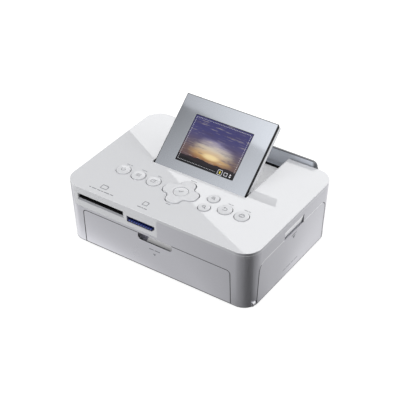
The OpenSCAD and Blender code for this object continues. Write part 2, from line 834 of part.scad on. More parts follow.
module button_board() placed() color([0.12, 0.38, 0.22]) {
    under = board_top - board_t;
    difference() {
        union() {
            box([board_x0, board_y0, under], [board_x1, board_y1, board_top]);
            for (at = concat(keys, zooms, [[pad_x, pad_y]]))
                translate([at[0], at[1], board_top])
                    cylinder(h = switch_top - board_top, r = switch_r);
            for (turn = [0 : 90 : 270])
                translate([pad_x, pad_y, board_top])
                    rotate(turn)
                        translate([pad_switch_at[0], pad_switch_at[1], 0])
                            cylinder(h = pad_bottom - pad_stem_gap - board_top, r = pad_stem_r);
        }
        for (at = board_posts)
            translate([at[0], at[1], under - cut])
                cylinder(h = board_t + 2 * cut, r = screw_r + screw_room);
    }
}

// Screws of both boards
module board_screws() placed() color([0.72, 0.72, 0.74]) {
    under = board_top - board_t;
    for (at = board_posts)
        translate([at[0], at[1], under - screw_head_h]) {
            cylinder(h = screw_head_h, r = screw_head_r);
            cylinder(h = screw_head_h + board_t + screw_bite, r = screw_r);
        }
    for (at = guide_posts)
        translate([at[0], at[1], main_board_z - screw_bite]) {
            cylinder(h = screw_bite + main_board_t + screw_head_h, r = screw_r);
            translate([0, 0, screw_bite + main_board_t])
                cylinder(h = screw_head_h, r = screw_head_r);
        }
}

module paper_guide() placed() color([0.22, 0.22, 0.24]) {
    difference() {
        union() {
            for (x = [-guide_x - guide_t, guide_x])
                box([x, guide_y0, base_top], [x + guide_t, guide_y1, guide_h]);
            box([-guide_x - guide_t, bridge_y0, guide_h - bridge_t], [guide_x + guide_t, bridge_y1, guide_h]);
            for (at = guide_posts)
                translate([at[0], at[1], guide_h - bridge_t])
                    cylinder(h = main_board_z - guide_h + bridge_t, r = post_r);
        }
        for (at = guide_posts)
            translate([at[0], at[1], main_board_z - screw_bite - screw_room])
                cylinder(h = screw_bite + screw_room + cut, r = screw_r + seat);
    }
}

// ---- print mechanism ----

module chassis_plate_shape(cutout) {
    difference() {
        translate([plate_y0, base_top])
            square([plate_y1 - plate_y0, plate_h - base_top]);
        for (at = [platen, capstan, pinch, pickup])
            translate(at)
                circle(shaft_r + fit);
        translate(head_pivot)
            circle(head_shaft_r + seat);
        if (cutout)
            translate([supply[0] - supply_shell - cassette_gap, supply[1] - supply_shell - cassette_gap])
                square([takeup[0] + takeup_shell - supply[0] + supply_shell + 2 * cassette_gap, plate_h]);
        else
            translate(takeup)
                circle(shaft_r + fit);
    }
}

module chassis() placed() color([0.66, 0.67, 0.69]) {
    outer = plate_x + plate_t;
    difference() {
        union() {
            along_x(-outer, plate_t)
                chassis_plate_shape(false);
            along_x(plate_x, plate_t)
                chassis_plate_shape(true);
            box([-outer, guide_y1 + floor_gap, base_top], [outer, plate_y1, base_top + plate_t]);
            box([-outer, plate_y1 - plate_t, guide_h], [outer, plate_y1, plate_h]);
            rod(idler, gear_x - gear_t - pin_back, -plate_x, shaft_r);
            rod(lever_at, plate_x, lever_x + lever_t + pin_back, shaft_r);
            for (at = bracket_posts)
                rod(at, bracket_x, -plate_x - bite, bracket_post_r);
        }
        box([base_hole[0][0], base_hole[0][1], -cut],
            [base_hole[1][0], base_hole[1][1], base_top + plate_t + cut]);
    }
}

module head_shaft() placed() color([0.78, 0.78, 0.80]) {
    rod(head_pivot, -plate_x - plate_t, plate_x + plate_t, head_shaft_r);
}

module motor_bracket() placed() color([0.68, 0.69, 0.70]) {
    along_x(bracket_x - plate_t, plate_t)
        difference() {
            translate([bracket_y0, bracket_z0])
                square([bracket_y1 - bracket_y0, bracket_z1 - bracket_z0]);
            translate(motor_at)
                circle(motor_nose_r);
            translate(takeup)
                circle(shaft_r + fit);
        }
}

module motor() placed() color([0.30, 0.30, 0.32]) {
    x1 = bracket_x - plate_t;
    difference() {
        union() {
            rod(motor_at, x1 - motor_l, x1, motor_r);
            rod(motor_at, x1, x1 + plate_t, motor_nose_r - seat);
        }
        rod(motor_at, x1 - pinion_tail, x1 + plate_t + cut, motor_shaft_r + fit);
    }
}

module motor_pinion() placed() color([0.85, 0.70, 0.35]) {
    rod(motor_at, bracket_x - plate_t - pinion_tail + end_play, gear_x + end_play, motor_shaft_r);
    gear(motor_at, pinion_teeth, mesh_phase(motor_turn, takeup_phase, drive_teeth, pinion_teeth),
        pinion_bore);
}

// Outline of a gear with straight-flanked teeth, one tooth along +X
module gear_outline(teeth) {
    pitch_r = gear_module * teeth / 2;
    half = tooth_share / 2 * PI * gear_module;   // half a tooth on the pitch circle
    slope = tan(flank_angle);
    radii = [pitch_r - tooth_root * gear_module, pitch_r + tooth_tip * gear_module];
    polygon([for (i = [0 : teeth - 1], k = [[-1, 0], [-1, 1], [1, 1], [1, 0]])
        let (r = radii[k[1]],
            a = 360 * i / teeth + k[0] * (half - slope * (r - pitch_r)) / r * 180 / PI)
        [r * cos(a), r * sin(a)]]);
}

// Turn of gear b that meshes with gear a, from a's turn and the direction a to b
function mesh_phase(direction, phase_a, teeth_a, teeth_b) =
    direction + 180 - (0.5 - (direction - phase_a) * teeth_a / 360) * 360 / teeth_b;

module gear(at, teeth, phase, bore) {
    along_x(gear_x - gear_t, gear_t)
        translate(at)
            rotate(phase)
                difference() {
                    gear_outline(teeth);
                    circle(bore);
                }
}

module idler_gear() placed() color([0.88, 0.87, 0.82])
    gear(idler, idler_teeth, idler_phase, shaft_r + fit);

module platen_gear() placed() color([0.88, 0.87, 0.82])
    gear(platen, drive_teeth, mesh_phase(180, idler_phase, idler_teeth, drive_teeth), gear_bore);

module capstan_gear() placed() color([0.88, 0.87, 0.82])
    gear(capstan, drive_teeth, capstan_phase, gear_bore);

module takeup_gear() placed() color([0.88, 0.87, 0.82])
    gear(takeup, drive_teeth, takeup_phase, gear_bore);

module platen_roller() placed() color([0.12, 0.12, 0.13])
    along_x(-platen_l / 2, platen_l)
        translate(platen)
            difference() {
                circle(roller_r);
                circle(shaft_r + seat);
            }

module platen_shaft() placed() color([0.78, 0.78, 0.80]) {
    rod(platen, gear_x - gear_t - shaft_end, plate_x + plate_t + shaft_end, shaft_r);
}

module capstan_roller() placed() color([0.62, 0.62, 0.64]) {
    rod(capstan, gear_x - gear_t - shaft_end, plate_x + plate_t + shaft_end, shaft_r);
    rod(capstan, -platen_l / 2, platen_l / 2, roller_r);
}

module pinch_roller() placed() color([0.20, 0.20, 0.21]) {
    rod(pinch, -plate_x - plate_t, plate_x + plate_t, shaft_r);
    rod(pinch, -platen_l / 2 + pinch_short, platen_l / 2 - pinch_short, roller_r);
}

module pickup_roller() placed() color([0.14, 0.14, 0.15])
    along_x(-pickup_l / 2, pickup_l)
        translate(pickup)
            difference() {
                circle(pickup_r);
                circle(shaft_r + seat);
            }

module pickup_shaft() placed() color([0.78, 0.78, 0.80])
    rod(pickup, -plate_x - plate_t, plate_x + plate_t, shaft_r);

module head_arms() placed() color([0.64, 0.65, 0.67]) {
    for (x = [-arm_x - arm_t, arm_x])
        along_x(x, arm_t)
            difference() {
                union() {
                    translate([head_y0, arm_z0])
                        square([head_pivot[0] - head_y0, arm_z1 - arm_z0]);
                    translate([head_pivot[0] - arm_eye, head_pivot[1]])
                        square([2 * arm_eye, arm_z1 - head_pivot[1]]);
                    translate(head_pivot)
                        circle(arm_eye);
                }
                translate(head_pivot)
                    circle(head_shaft_r + fit);
            }
    box([-arm_x - arm_t, head_y0, arm_z0], [arm_x + arm_t, head_y1, arm_z1]);
}

module print_head() placed() color([0.76, 0.77, 0.79]) {
    bar_top = head_z + strip_t + head_t;
    box([-head_l / 2, head_y0, head_z + strip_t], [head_l / 2, head_y1, bar_top]);
    box([-head_l / 2 + strip_t, strip_y0, head_z], [head_l / 2 - strip_t, strip_y1, head_z + strip_t]);
    for (y = [head_y0, (head_y0 + head_y1 - fin_t) / 2, head_y1 - fin_t])
        box([-head_l / 2, y, bar_top], [head_l / 2, y + fin_t, arm_z0]);
}

module spool(at, roll_r, x0) {
    rod(at, x0, cassette_x1 - end_play, spool_r - 1);
    rod(at, cassette_x0 + cassette_wall + end_play, cassette_x1 - cassette_wall - end_play, spool_r);
    rod(at, -platen_l / 2, platen_l / 2, roll_r);
}

module takeup_spool() placed() color([0.75, 0.35, 0.25]) {
    rod(takeup, gear_x - gear_t - shaft_end, cassette_x0 + 1, shaft_r);
    spool(takeup, takeup_roll, cassette_x0);
}

module supply_spool() placed() color([0.85, 0.75, 0.20])
    spool(supply, supply_roll, cassette_x0 + end_play);

module ink_cassette() placed() color([0.82, 0.82, 0.84]) {
    length = cassette_x1 - cassette_x0;
    difference() {
        union() {
            rod(supply, cassette_x0, cassette_x1, supply_shell);
            rod(takeup, cassette_x0, cassette_x1, takeup_shell);
            for (x = [cassette_x0, cassette_x1 - web_t])
                along_x(x, web_t)
                    translate([supply[0], supply[1] - web_drop])
                        square([takeup[0] - supply[0], end_web]);
            box([cassette_x1 - bite, grip[0][0], grip[1][0]], [grip_x1, grip[0][1], grip[1][1]]);
        }
        along_x(cassette_x0 + cassette_wall, length - 2 * cassette_wall) {
            translate(supply)
                circle(supply_shell - cassette_wall);
            translate(takeup)
                circle(takeup_shell - cassette_wall);
        }
        // slits that let the ribbon out of each tube
        box([-platen_l / 2 - cut, supply[0], supply[1] - supply_shell - cut],
            [platen_l / 2 + cut, supply[0] + slit_w, supply[1] - slit_w]);
        box([-platen_l / 2 - cut, takeup[0] - slit_w, takeup[1] - takeup_shell - cut],
            [platen_l / 2 + cut, takeup[0], takeup[1] - slit_w]);
        for (at = [supply, takeup])
            rod(at, cassette_x0 - cut, cassette_x1 + cut, spool_r - 1 + fit);
        // finger ribs of the grip
        for (x = rib_x)
            box([x, grip[0][0] - cut, grip[1][1] - rib_d], [x + rib_w, grip[0][1] + cut, grip[1][1] + cut]);
    }
}

module cassette_lever() placed() color([0.85, 0.55, 0.15]) {
    hook_x = cassette_x1 + hook_gap;
    difference() {
        union() {
            along_x(lever_x, lever_t) {
                translate(lever_at)
                    circle(lever_eye);
                polygon([[lever_at[0] + lever_eye, lever_at[1]], [lever_at[0] - lever_eye, lever_at[1]],
                    lever_tip[0], [lever_tip[0][0], lever_tip[1][1]], lever_tip[1]]);
            }
            box([lever_x, hook_y0, lever_tip[0][1]], [hook_x + hook_t, lever_tip[1][0], lever_tip[1][1]]);
            box([hook_x, hook_y0, hook_z0], [hook_x + hook_t, lever_tip[1][0], lever_tip[1][1]]);
        }
        rod(lever_at, lever_x - cut, lever_x + lever_t + cut, shaft_r + fit);
    }
}

// ---- sockets ----

module usb_ports() placed() color([0.70, 0.71, 0.73]) {
    front = -hw + lean_at(port_z) + shell_t + port_gap;
    difference() {
        union() {
            box([front + port_step, ports[0][0] - ports[0][1] / 2 - port_wall, base_top],
                [front + port_depth, ports[1][0] + ports[1][1] / 2 + port_wall, port_z - port_wall]);
            for (port = ports)
                box([front, port[0] - port[1] / 2 - port_wall, port_z - port_wall - pin_back],
                    [front + port_depth, port[0] + port[1] / 2 + port_wall, port_z + port[2] + port_wall]);
        }
        for (port = ports)
            difference() {
                box([front - cut, port[0] - port[1] / 2, port_z],
                    [front + port_depth - tongue_t, port[0] + port[1] / 2, port_z + port[2]]);
                box([front + port_step, port[0] - port[1] / 2 + tongue_t, port_z + tongue_t],
                    [front + port_depth, port[0] + port[1] / 2 - tongue_t, port_z + 2 * tongue_t]);
            }
    }
}

module dc_inlet() placed() color([0.10, 0.10, 0.11]) {
    back = rear_foot_y - rear_t - inlet_gap;
    difference() {
        box([inlet_x - inlet_half, back - inlet_l, base_top],
            [inlet_x + inlet_half, back, inlet_z + inlet_up]);
        along_y(back - inlet_l + cut, inlet_l)
            translate([inlet_x, inlet_z])
                difference() {
                    circle(inlet_r);
                    circle(inlet_pin_r);
                }
    }
}

module battery_cap() placed() color([0.38, 0.41, 0.46]) {
    intersection() {
        along_x(battery_x - battery_w / 2 + battery_gap, battery_w - 2 * battery_gap)
            rear_profile();
        box([-cover_w, 50, battery_z + battery_gap], [cover_w, cover_d, battery_z + battery_h - battery_gap]);
    }
}

// ---- hinge pins ----

module paper_door_pins() placed() color([0.78, 0.78, 0.80]) {
    translate([paper_door_x, 0, 0])
        for (side = [-1, 1])
            side_rod([paper_axis_y, door_axis_h], side, paper_door_w / 2 - pin_bite_door,
                paper_pin_end - pin_back, door_pin_r);
}

module ink_door_pins() placed() color([0.78, 0.78, 0.80]) {
    for (side = [-1, 1])
        let (y = span(side, ink_door_l / 2 - pin_bite_door, ink_pin_end - pin_back))
            along_y(ink_door_y + y[0], y[1] - y[0])
                translate([ink_axis_x, door_axis_h])
                    circle(door_pin_r);
}

module display_pins() placed() color([0.30, 0.30, 0.32]) {
    for (side = [-1, 1])
        side_rod([pivot_y, pivot_z], side, barrel_x - pin_bite, recess_x + boss_l - pin_back - cut,
            panel_pin_r);
}

// ---- display ----

// Places a shape drawn on the panel: Y up the panel, Z out of its front face
module on_panel() {
    translate([0, pivot_y, pivot_z])
        rotate([tilt, 0, 0])
            translate([0, -pivot_up, pivot_in])
                children();
}

module panel_plate(inset, z0, z1) {
    translate([0, 0, z0])
        linear_extrude(z1 - z0)
            soft_rect([-panel_w / 2 + inset, inset], [panel_w / 2 - inset, panel_l - inset],
                max(panel_corner - inset, 0.5));
}

// Space that the hinge barrels take from the bezel and the back
module barrel_room() {
    for (side = [-1, 1])
        side_rod([pivot_up, -pivot_in], side, barrel_x - barrel_l - barrel_gap, barrel_x + cut,
            barrel_r + barrel_gap);
}

module display_bezel() placed() color([0.62, 0.65, 0.70]) on_panel()
    difference() {
        panel_plate(0, -bezel_t, 0);
        translate([0, 0, -bezel_t - cut])
            linear_extrude(bezel_t + 2 * cut)
                soft_rect([-screen_w / 2 - window_gap, screen_low - window_gap],
                    [screen_w / 2 + window_gap, screen_low + screen_l + window_gap],
                    window_corner + window_gap);
        barrel_room();
    }

module display_frame() placed() color([0.08, 0.08, 0.09]) on_panel() {
    rim = lcd_edge + lcd_gap;
    difference() {
        union() {
            difference() {
                panel_plate(0, -bezel_t - mid_t, -bezel_t);
                translate([0, 0, -bezel_t - mid_t - cut])
                    linear_extrude(mid_t + 2 * cut)
                        translate([-screen_w / 2 - rim, screen_low - rim])
                            square([screen_w + 2 * rim, screen_l + 2 * rim]);
            }
            for (side = [-1, 1])
                side_rod([pivot_up, -pivot_in], side, barrel_x - barrel_l, barrel_x, barrel_r);
        }
        for (side = [-1, 1])
            side_rod([pivot_up, -pivot_in], side, barrel_x - pin_bite - barrel_gap, barrel_x + cut,
                panel_pin_r + fit);
    }
}

module display_back() placed() color([0.92, 0.92, 0.93]) on_panel()
    difference() {
        panel_plate(0, -panel_t, -bezel_t - mid_t);
        panel_plate(back_wall, -panel_t + back_wall, -bezel_t - mid_t + cut);
        barrel_room();
    }

module lcd_module() placed() color([0.20, 0.20, 0.22]) on_panel()
    box([-screen_w / 2 - lcd_edge, screen_low - lcd_edge, -bezel_t - lcd_t],
        [screen_w / 2 + lcd_edge, screen_low + screen_l + lcd_edge, -bezel_t]);

module display_screen() placed() color([0.15, 0.10, 0.25]) on_panel()
    translate([0, 0, -bezel_t])
        linear_extrude(bezel_t - screen_sink)
            soft_rect([-screen_w / 2, screen_low], [screen_w / 2, screen_low + screen_l], window_corner);

// ---- doors ----

module paper_door() placed() color([0.72, 0.72, 0.76]) {
    scoop_y = -hd + lean_at(paper_door_h) + door_t;
    scoop_x = scoop_w / 2;
    cup_z = paper_door_h - scoop_h - scoop_drop;
    difference() {
        union() {
            intersection() {
                body_ring(0, shell_top, door_t);
                along_y(-hd - cut, wall_reach)
                    paper_door_outline(0, door_foot);
            }
            box([-scoop_x - scoop_wall, scoop_y - bite, cup_z - scoop_wall],
                [scoop_x + scoop_wall, scoop_y + scoop_in, paper_door_h - cup_low]);
            translate([paper_door_x, 0, 0])
                for (side = [-1, 1])
                    side_rod([paper_axis_y, door_axis_h], side, paper_door_w / 2 - knuckle_l,
                        paper_door_w / 2, knuckle_r);
        }
        along_y(-hd - cut, cut + lean_at(paper_door_h) + door_t + bite)
            soft_rect([-scoop_x, paper_door_h - scoop_h], [scoop_x, paper_door_h + 2 * scoop_h],
                scoop_corner);
        box([-scoop_x, scoop_y, cup_z], [scoop_x, scoop_y + scoop_in - scoop_wall, paper_door_h + cut]);
        rod([paper_axis_y, door_axis_h], -hw, hw, door_pin_r + fit);
    }
}

module ink_door() placed() color([0.72, 0.72, 0.76]) {
    pull_face = hw - lean_at(ink_door_h) - door_t;
    difference() {
        union() {
            intersection() {
                body_ring(0, shell_top, door_t);
                along_x(hw - wall_reach, wall_reach + cut)
                    ink_door_outline(0, door_foot);
            }
            box([pull_back + pull_gap, -pull_w / 2 + pull_gap, ink_door_h - ledge_depth],
                [pull_face + bite, pull_w / 2 - pull_gap, ink_door_h]);
            for (side = [-1, 1])
                let (y = span(side, ink_door_l / 2 - knuckle_l, ink_door_l / 2))
                    along_y(ink_door_y + y[0], knuckle_l)
                        translate([ink_axis_x, door_axis_h])
                            circle(knuckle_r);
        }
        along_y(-hd, cover_d)
            translate([ink_axis_x, door_axis_h])
                circle(door_pin_r + fit);
    }
}

// ---- buttons ----

module crowned_cap(r, z0, z1) {
    intersection() {
        translate([0, 0, z0])
            cylinder(h = z1 - z0, r = r);
        translate([0, 0, z1 - crown_r])
            sphere(crown_r, $fn = 96);
    }
}

module round_key(at, d) placed() {
    flange_z = top_under - lip_gap - lip_t;
    translate([at[0], at[1], 0]) {
        crowned_cap(d / 2, flange_z, body_h + key_rise);
        translate([0, 0, flange_z])
            cylinder(h = lip_t, r = d / 2 + lip_w);
        translate([0, 0, key_foot])
            cylinder(h = flange_z - key_foot + bite, r = switch_r);
    }
}

module power_button() color([0.88, 0.88, 0.90]) round_key(keys[0], key_d);
module menu_button() color([0.88, 0.88, 0.90]) round_key(keys[1], key_d);
module edit_button() color([0.88, 0.88, 0.90]) round_key(keys[2], key_d);
module back_button() color([0.88, 0.88, 0.90]) round_key(keys[3], key_d);
module print_button() color([0.88, 0.88, 0.90]) round_key(keys[4], key_d);
module zoom_in_button() color([0.88, 0.88, 0.90]) round_key(zooms[0], zoom_d);
module zoom_out_button() color([0.88, 0.88, 0.90]) round_key(zooms[1], zoom_d);

module confirm_button() placed() color([0.90, 0.90, 0.92])
    translate([pad_x, pad_y, 0]) {
        crowned_cap(ok_d / 2, key_foot, body_h + key_rise + ok_rise);
        translate([0, 0, key_foot])
            cylinder(h = ok_shoulder_top - key_foot, r = ok_d / 2 + ok_shoulder);
    }

module pad_outline(grow) {
    long = pad_w / 2 + grow;
    short = lobe_w / 2 + grow;
    corner = lobe_w / 2 + pad_fillet;
    soft_rect([-long, -short], [long, short], pad_end_r + grow);
    soft_rect([-short, -long], [short, long], pad_end_r + grow);
    difference() {
        square(2 * corner, center = true);
        for (x = [-corner, corner], y = [-corner, corner])
            translate([x, y])
                circle(pad_fillet - grow);
    }
}

module pad_ring() placed() color([0.70, 0.70, 0.72])
    translate([pad_x, pad_y, 0])
        difference() {
            union() {
                translate([0, 0, ring_z])
                    cylinder(h = ring_t, r = ring_out);
                rod([0, ring_axis_z], -trunnion_out, trunnion_out, trunnion_r);
            }
            translate([0, 0, ring_z - cut])
                cylinder(h = ring_t + 2 * cut, r = ring_in);
            along_y(-ring_out - cut, 2 * ring_out + 2 * cut)
                translate([0, ring_axis_z])
                    circle(trunnion_r + fit);
        }

module direction_pad() placed() color([0.90, 0.90, 0.92])
    translate([pad_x, pad_y, 0]) {
        difference() {
            translate([0, 0, pad_bottom])
                linear_extrude(body_h + key_rise - pad_bottom)
                    pad_outline(0);
            translate([0, 0, pad_bottom - cut])
                cylinder(h = ok_shoulder_top + shoulder_room - pad_bottom + cut,
                    r = ok_d / 2 + ok_shoulder + ok_gap);
            cylinder(h = body_h + key_rise + cut, r = ok_d / 2 + ok_gap);
        }
        for (side = [0, 180])
            rotate(side) {
                box([-arm_w / 2, arm_in, ring_z + lip_gap], [arm_w / 2, arm_in + leg_d, pad_bottom + bite]);
                along_y(trunnion_in, arm_in + bite - trunnion_in)
                    translate([0, ring_axis_z])
                        circle(trunnion_r);
            }
    }

base_plate();
body_shell();
top_cover();
display_tray();
slot_panel();
rear_cover();
feet();
case_screws();
big_card_socket();
small_card_socket();
main_board();
button_board();
board_screws();
paper_guide();
chassis();
head_shaft();
motor_bracket();
motor();
usb_ports();
dc_inlet();
battery_cap();
ink_cassette();
paper_door_pins();
ink_door_pins();
display_pins();
display_bezel();
display_frame();
display_back();
lcd_module();
display_screen();
paper_door();
ink_door();
power_button();
menu_button();
edit_button();
zoom_in_button();
zoom_out_button();
back_button();
print_button();
confirm_button();
pad_ring();
direction_pad();
platen_roller();
platen_shaft();
platen_gear();
capstan_roller();
capstan_gear();
pinch_roller();
idler_gear();
takeup_spool();
takeup_gear();
supply_spool();
motor_pinion();
pickup_roller();
pickup_shaft();
head_arms();
print_head();
cassette_lever();
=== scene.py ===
import json
from math import cos, hypot, pi, radians, sin, sqrt

import bmesh
import bpy
from bpy.props import FloatProperty, FloatVectorProperty, PointerProperty
from mathutils import Matrix, Vector
from mathutils.geometry import tessellate_polygon


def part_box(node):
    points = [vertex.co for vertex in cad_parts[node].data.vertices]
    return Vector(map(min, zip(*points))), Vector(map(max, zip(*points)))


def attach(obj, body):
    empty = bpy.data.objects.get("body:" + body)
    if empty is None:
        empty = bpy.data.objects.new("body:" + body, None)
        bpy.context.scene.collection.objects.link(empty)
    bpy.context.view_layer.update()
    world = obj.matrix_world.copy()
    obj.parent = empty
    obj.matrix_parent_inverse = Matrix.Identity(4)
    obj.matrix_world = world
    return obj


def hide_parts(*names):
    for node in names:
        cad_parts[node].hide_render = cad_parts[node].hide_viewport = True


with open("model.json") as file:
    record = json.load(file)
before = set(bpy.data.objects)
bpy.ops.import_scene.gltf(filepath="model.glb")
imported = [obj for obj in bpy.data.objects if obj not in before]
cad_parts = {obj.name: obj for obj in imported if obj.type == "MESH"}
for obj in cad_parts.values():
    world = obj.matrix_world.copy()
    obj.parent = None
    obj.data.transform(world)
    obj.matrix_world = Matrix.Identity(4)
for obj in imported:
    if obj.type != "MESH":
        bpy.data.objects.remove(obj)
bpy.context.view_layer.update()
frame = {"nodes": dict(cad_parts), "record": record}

bl_info = {
    "name": "Compact photo printer",
    "version": (1, 0, 0),
    "blender": (4, 5, 0),
    "location": "3D View > Sidebar > Printer",
    "description": "Skins, keys, display and finishes of a compact photo printer on its frame",
    "category": "Object",
}

MM = 0.001

# The frame's places, in millimetres from the middle of the cover at the body's underside
COVER_TOP = 54.9
SIDE_LEAN = 2.6
HALF_W, HALF_D = 89.0, 63.5
CORNER_R = 15
CORNER_X, CORNER_Y = HALF_W - CORNER_R, HALF_D - CORNER_R
SLOT_FLOOR = 42.2
# The display: where it turns, how far it is tilted, and its panel, whose face stands off the hinge
PIVOT_Y, PIVOT_Z = 1.3, 53.0
TILT = radians(40.2)
HINGE_V, HINGE_W = 1.6, 2.6
PANEL_W, PANEL_L = 87.0, 64.4
SCREEN = (-27.5, 9.1, 27.5, 50.2)
# The direction pad's middle, and each key's name, x, y, radius of its cap and height of its crown
PAD = (-1.0, -24.7)
KEYS = (
    ("power", -57.0, -24.9, 5.8, 55.9),
    ("menu", -42.2, -24.7, 5.8, 55.9),
    ("edit", -27.3, -24.7, 5.8, 55.9),
    ("back", 40.4, -24.7, 5.8, 55.9),
    ("print", 55.6, -24.7, 5.8, 55.9),
    ("zoom_in", 25.2, -17.7, 4.8, 55.9),
    ("zoom_out", 25.2, -31.1, 4.8, 55.9),
    ("confirm", *PAD, 5.95, 56.1),
)
CROWN_R = 70
# below this height the keys are dark grey, painted shade in the gap round them
GAP_SHADE_TOP = 52.95

# Folds sharper than these stay sharp in the shading, or get a rounded edge
SHARP_FROM, BEVEL_FROM = radians(32), radians(24)
# The camera's place and aim, and the wall that carries the soft box behind the printer, in metres
STAND, AIM = Vector((0.44556, -0.65758, 0.61535)), Vector((0.0004, -0.0014, 0.03402))
WALL_Y = 2.2


def middle_of_cover():
    low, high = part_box("top_cover")
    return Vector(((low.x + high.x) / 2, (low.y + high.y) / 2, high.z - COVER_TOP * MM))


MIDDLE = middle_of_cover()


def place(x, y, z):
    """A point given in millimetres of the body, in the frame's metres."""
    return MIDDLE + Vector((x, y, z)) * MM


def place_on_panel(x, v, w):
    """A point of the tilted display: x across, v up the panel from the hinge, w out of its face."""
    y, z = v - HINGE_V, w + HINGE_W
    return place(x, PIVOT_Y + y * cos(TILT) - z * sin(TILT), PIVOT_Z + y * sin(TILT) + z * cos(TILT))


def in_body(point):
    """A point of the frame in millimetres of the body."""
    return (point - MIDDLE) / MM


def lean_at(z):
    """How far the leaning sides lie inside the cover's edge at the height z."""
    return SIDE_LEAN * (1 - z / COVER_TOP)


def along_x(y, z, x):
    return place(x, y, z)


def along_y(x, z, y):
    return place(x, y, z)


def on_front(u, v, w):
    return place(u, -HALF_D + lean_at(v) - w, v)


def on_side(u, v, w):
    return place(HALF_W - lean_at(v) + w, u, v)


def crown_drop(rho):
    """How far a key's crown has dropped at the radius rho."""
    return CROWN_R - sqrt(CROWN_R * CROWN_R - rho * rho)


def colour(red, green, blue):
    """A display colour, 0 to 255, in the linear values that the shaders use."""
    channels = [c / 255 for c in (red, green, blue)]
    return tuple(c / 12.92 if c <= 0.04045 else ((c + 0.055) / 1.055) ** 2.4 for c in channels)


def shaded(base, factor):
    return tuple(min(1.0, c * factor) for c in base)


# ---- outlines ----

def arc(cx, cy, r, start, stop, steps):
    turns = [radians(start + (stop - start) * i / steps) for i in range(steps + 1)]
    return [(cx + r * cos(t), cy + r * sin(t)) for t in turns]


def circle(cx, cy, r, steps=64):
    return arc(cx, cy, r, 0, 360, steps)[:-1]


def soft_rect(x0, y0, x1, y1, r, steps=8):
    """A rectangle with round corners, from its lower left corner round to the left."""
    corners = ((x0 + r, y0 + r, 180), (x1 - r, y0 + r, 270), (x1 - r, y1 - r, 0), (x0 + r, y1 - r, 90))
    return [p for cx, cy, turn in corners for p in arc(cx, cy, r, turn, turn + 90, steps)]


def oblong(x0, y0, x1, y1):
    return [(x0, y0), (x1, y0), (x1, y1), (x0, y1)]


def pad_outline(grow):
    """The direction pad's cross of four soft lobes, larger or smaller by grow."""
    far, near, end, fillet = 15.6 + grow, 6.5 + grow, 5 + grow, 4.4 - grow
    lobe = arc(far - end, end - near, end, -90, 0, 8) + arc(far - end, near - end, end, 0, 90, 8)
    lobe += arc(10.9, 10.9, fillet, 270, 180, 10)[1:-1]
    loop = []
    for turn in range(4):
        c, s = round(cos(turn * pi / 2)), round(sin(turn * pi / 2))
        loop += [(x * c - y * s, x * s + y * c) for x, y in lobe]
    return [(x + PAD[0], y + PAD[1]) for x, y in loop]


def drawn_in(loop, inset):
    """A closed outline drawn in by inset."""
    count = len(loop)
    moved = []
    for i, (x, y) in enumerate(loop):
        before, after = Vector(loop[i - 1]), Vector(loop[(i + 1) % count])
        a, b = (Vector((x, y)) - before), (after - Vector((x, y)))
        a = a.normalized() if a.length > 1e-9 else b.normalized()
        b = b.normalized() if b.length > 1e-9 else a
        left = Vector((-a.y - b.y, a.x + b.x))
        left = left.normalized() if left.length > 1e-6 else Vector((-a.y, a.x))
        miter = max(0.35, left.dot(Vector((-a.y, a.x))))
        moved.append((x + left.x * inset / miter, y + left.y * inset / miter))
    return moved


def round_over(low, high, edge, foot=0.0, steps=4):
    """Steps (inset, height) up a plate's side, with a rounded foot and a rounded top edge."""
    turns = [pi / 2 * i / steps for i in range(steps + 1)]
    rise = [(foot * (1 - sin(a)), low + foot * (1 - cos(a))) for a in turns[:-1]] if foot else []
    rise.append((0.0, low + foot))
    return rise + [(edge * (1 - cos(a)), high - edge * (1 - sin(a))) for a in turns]


def spaced(line, step=0.6):
    """The same line with points no further apart than step."""
    out = [line[0]]
    for a, b in zip(line, line[1:]):
        across, up = b[0] - a[0], b[1] - a[1]
        parts = max(1, int((across ** 2 + up ** 2) ** 0.5 / step))
        out += [(a[0] + across * i / parts, a[1] + up * i / parts) for i in range(1, parts + 1)]
    return out


# ---- meshes ----

def dress(piece, finish):
    """Gives a piece one finish: a material, or the name of one of the record's slots."""
    piece.data.materials.clear()
    piece.data.materials.append(FINISHES[finish] if isinstance(finish, str) else finish)


def piece_from(name, mesh, body, slot, finish, replaced):
    piece = bpy.data.objects.new(name, mesh)
    bpy.context.scene.collection.objects.link(piece)
    mesh.shade_smooth()
    mesh.set_sharp_from_angle(angle=SHARP_FROM)
    weighted = piece.modifiers.new("even normals", "WEIGHTED_NORMAL")
    weighted.keep_sharp = True
    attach(piece, body)
    if replaced:
        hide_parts(*replaced)
    dress(piece, finish or slot)
    return piece


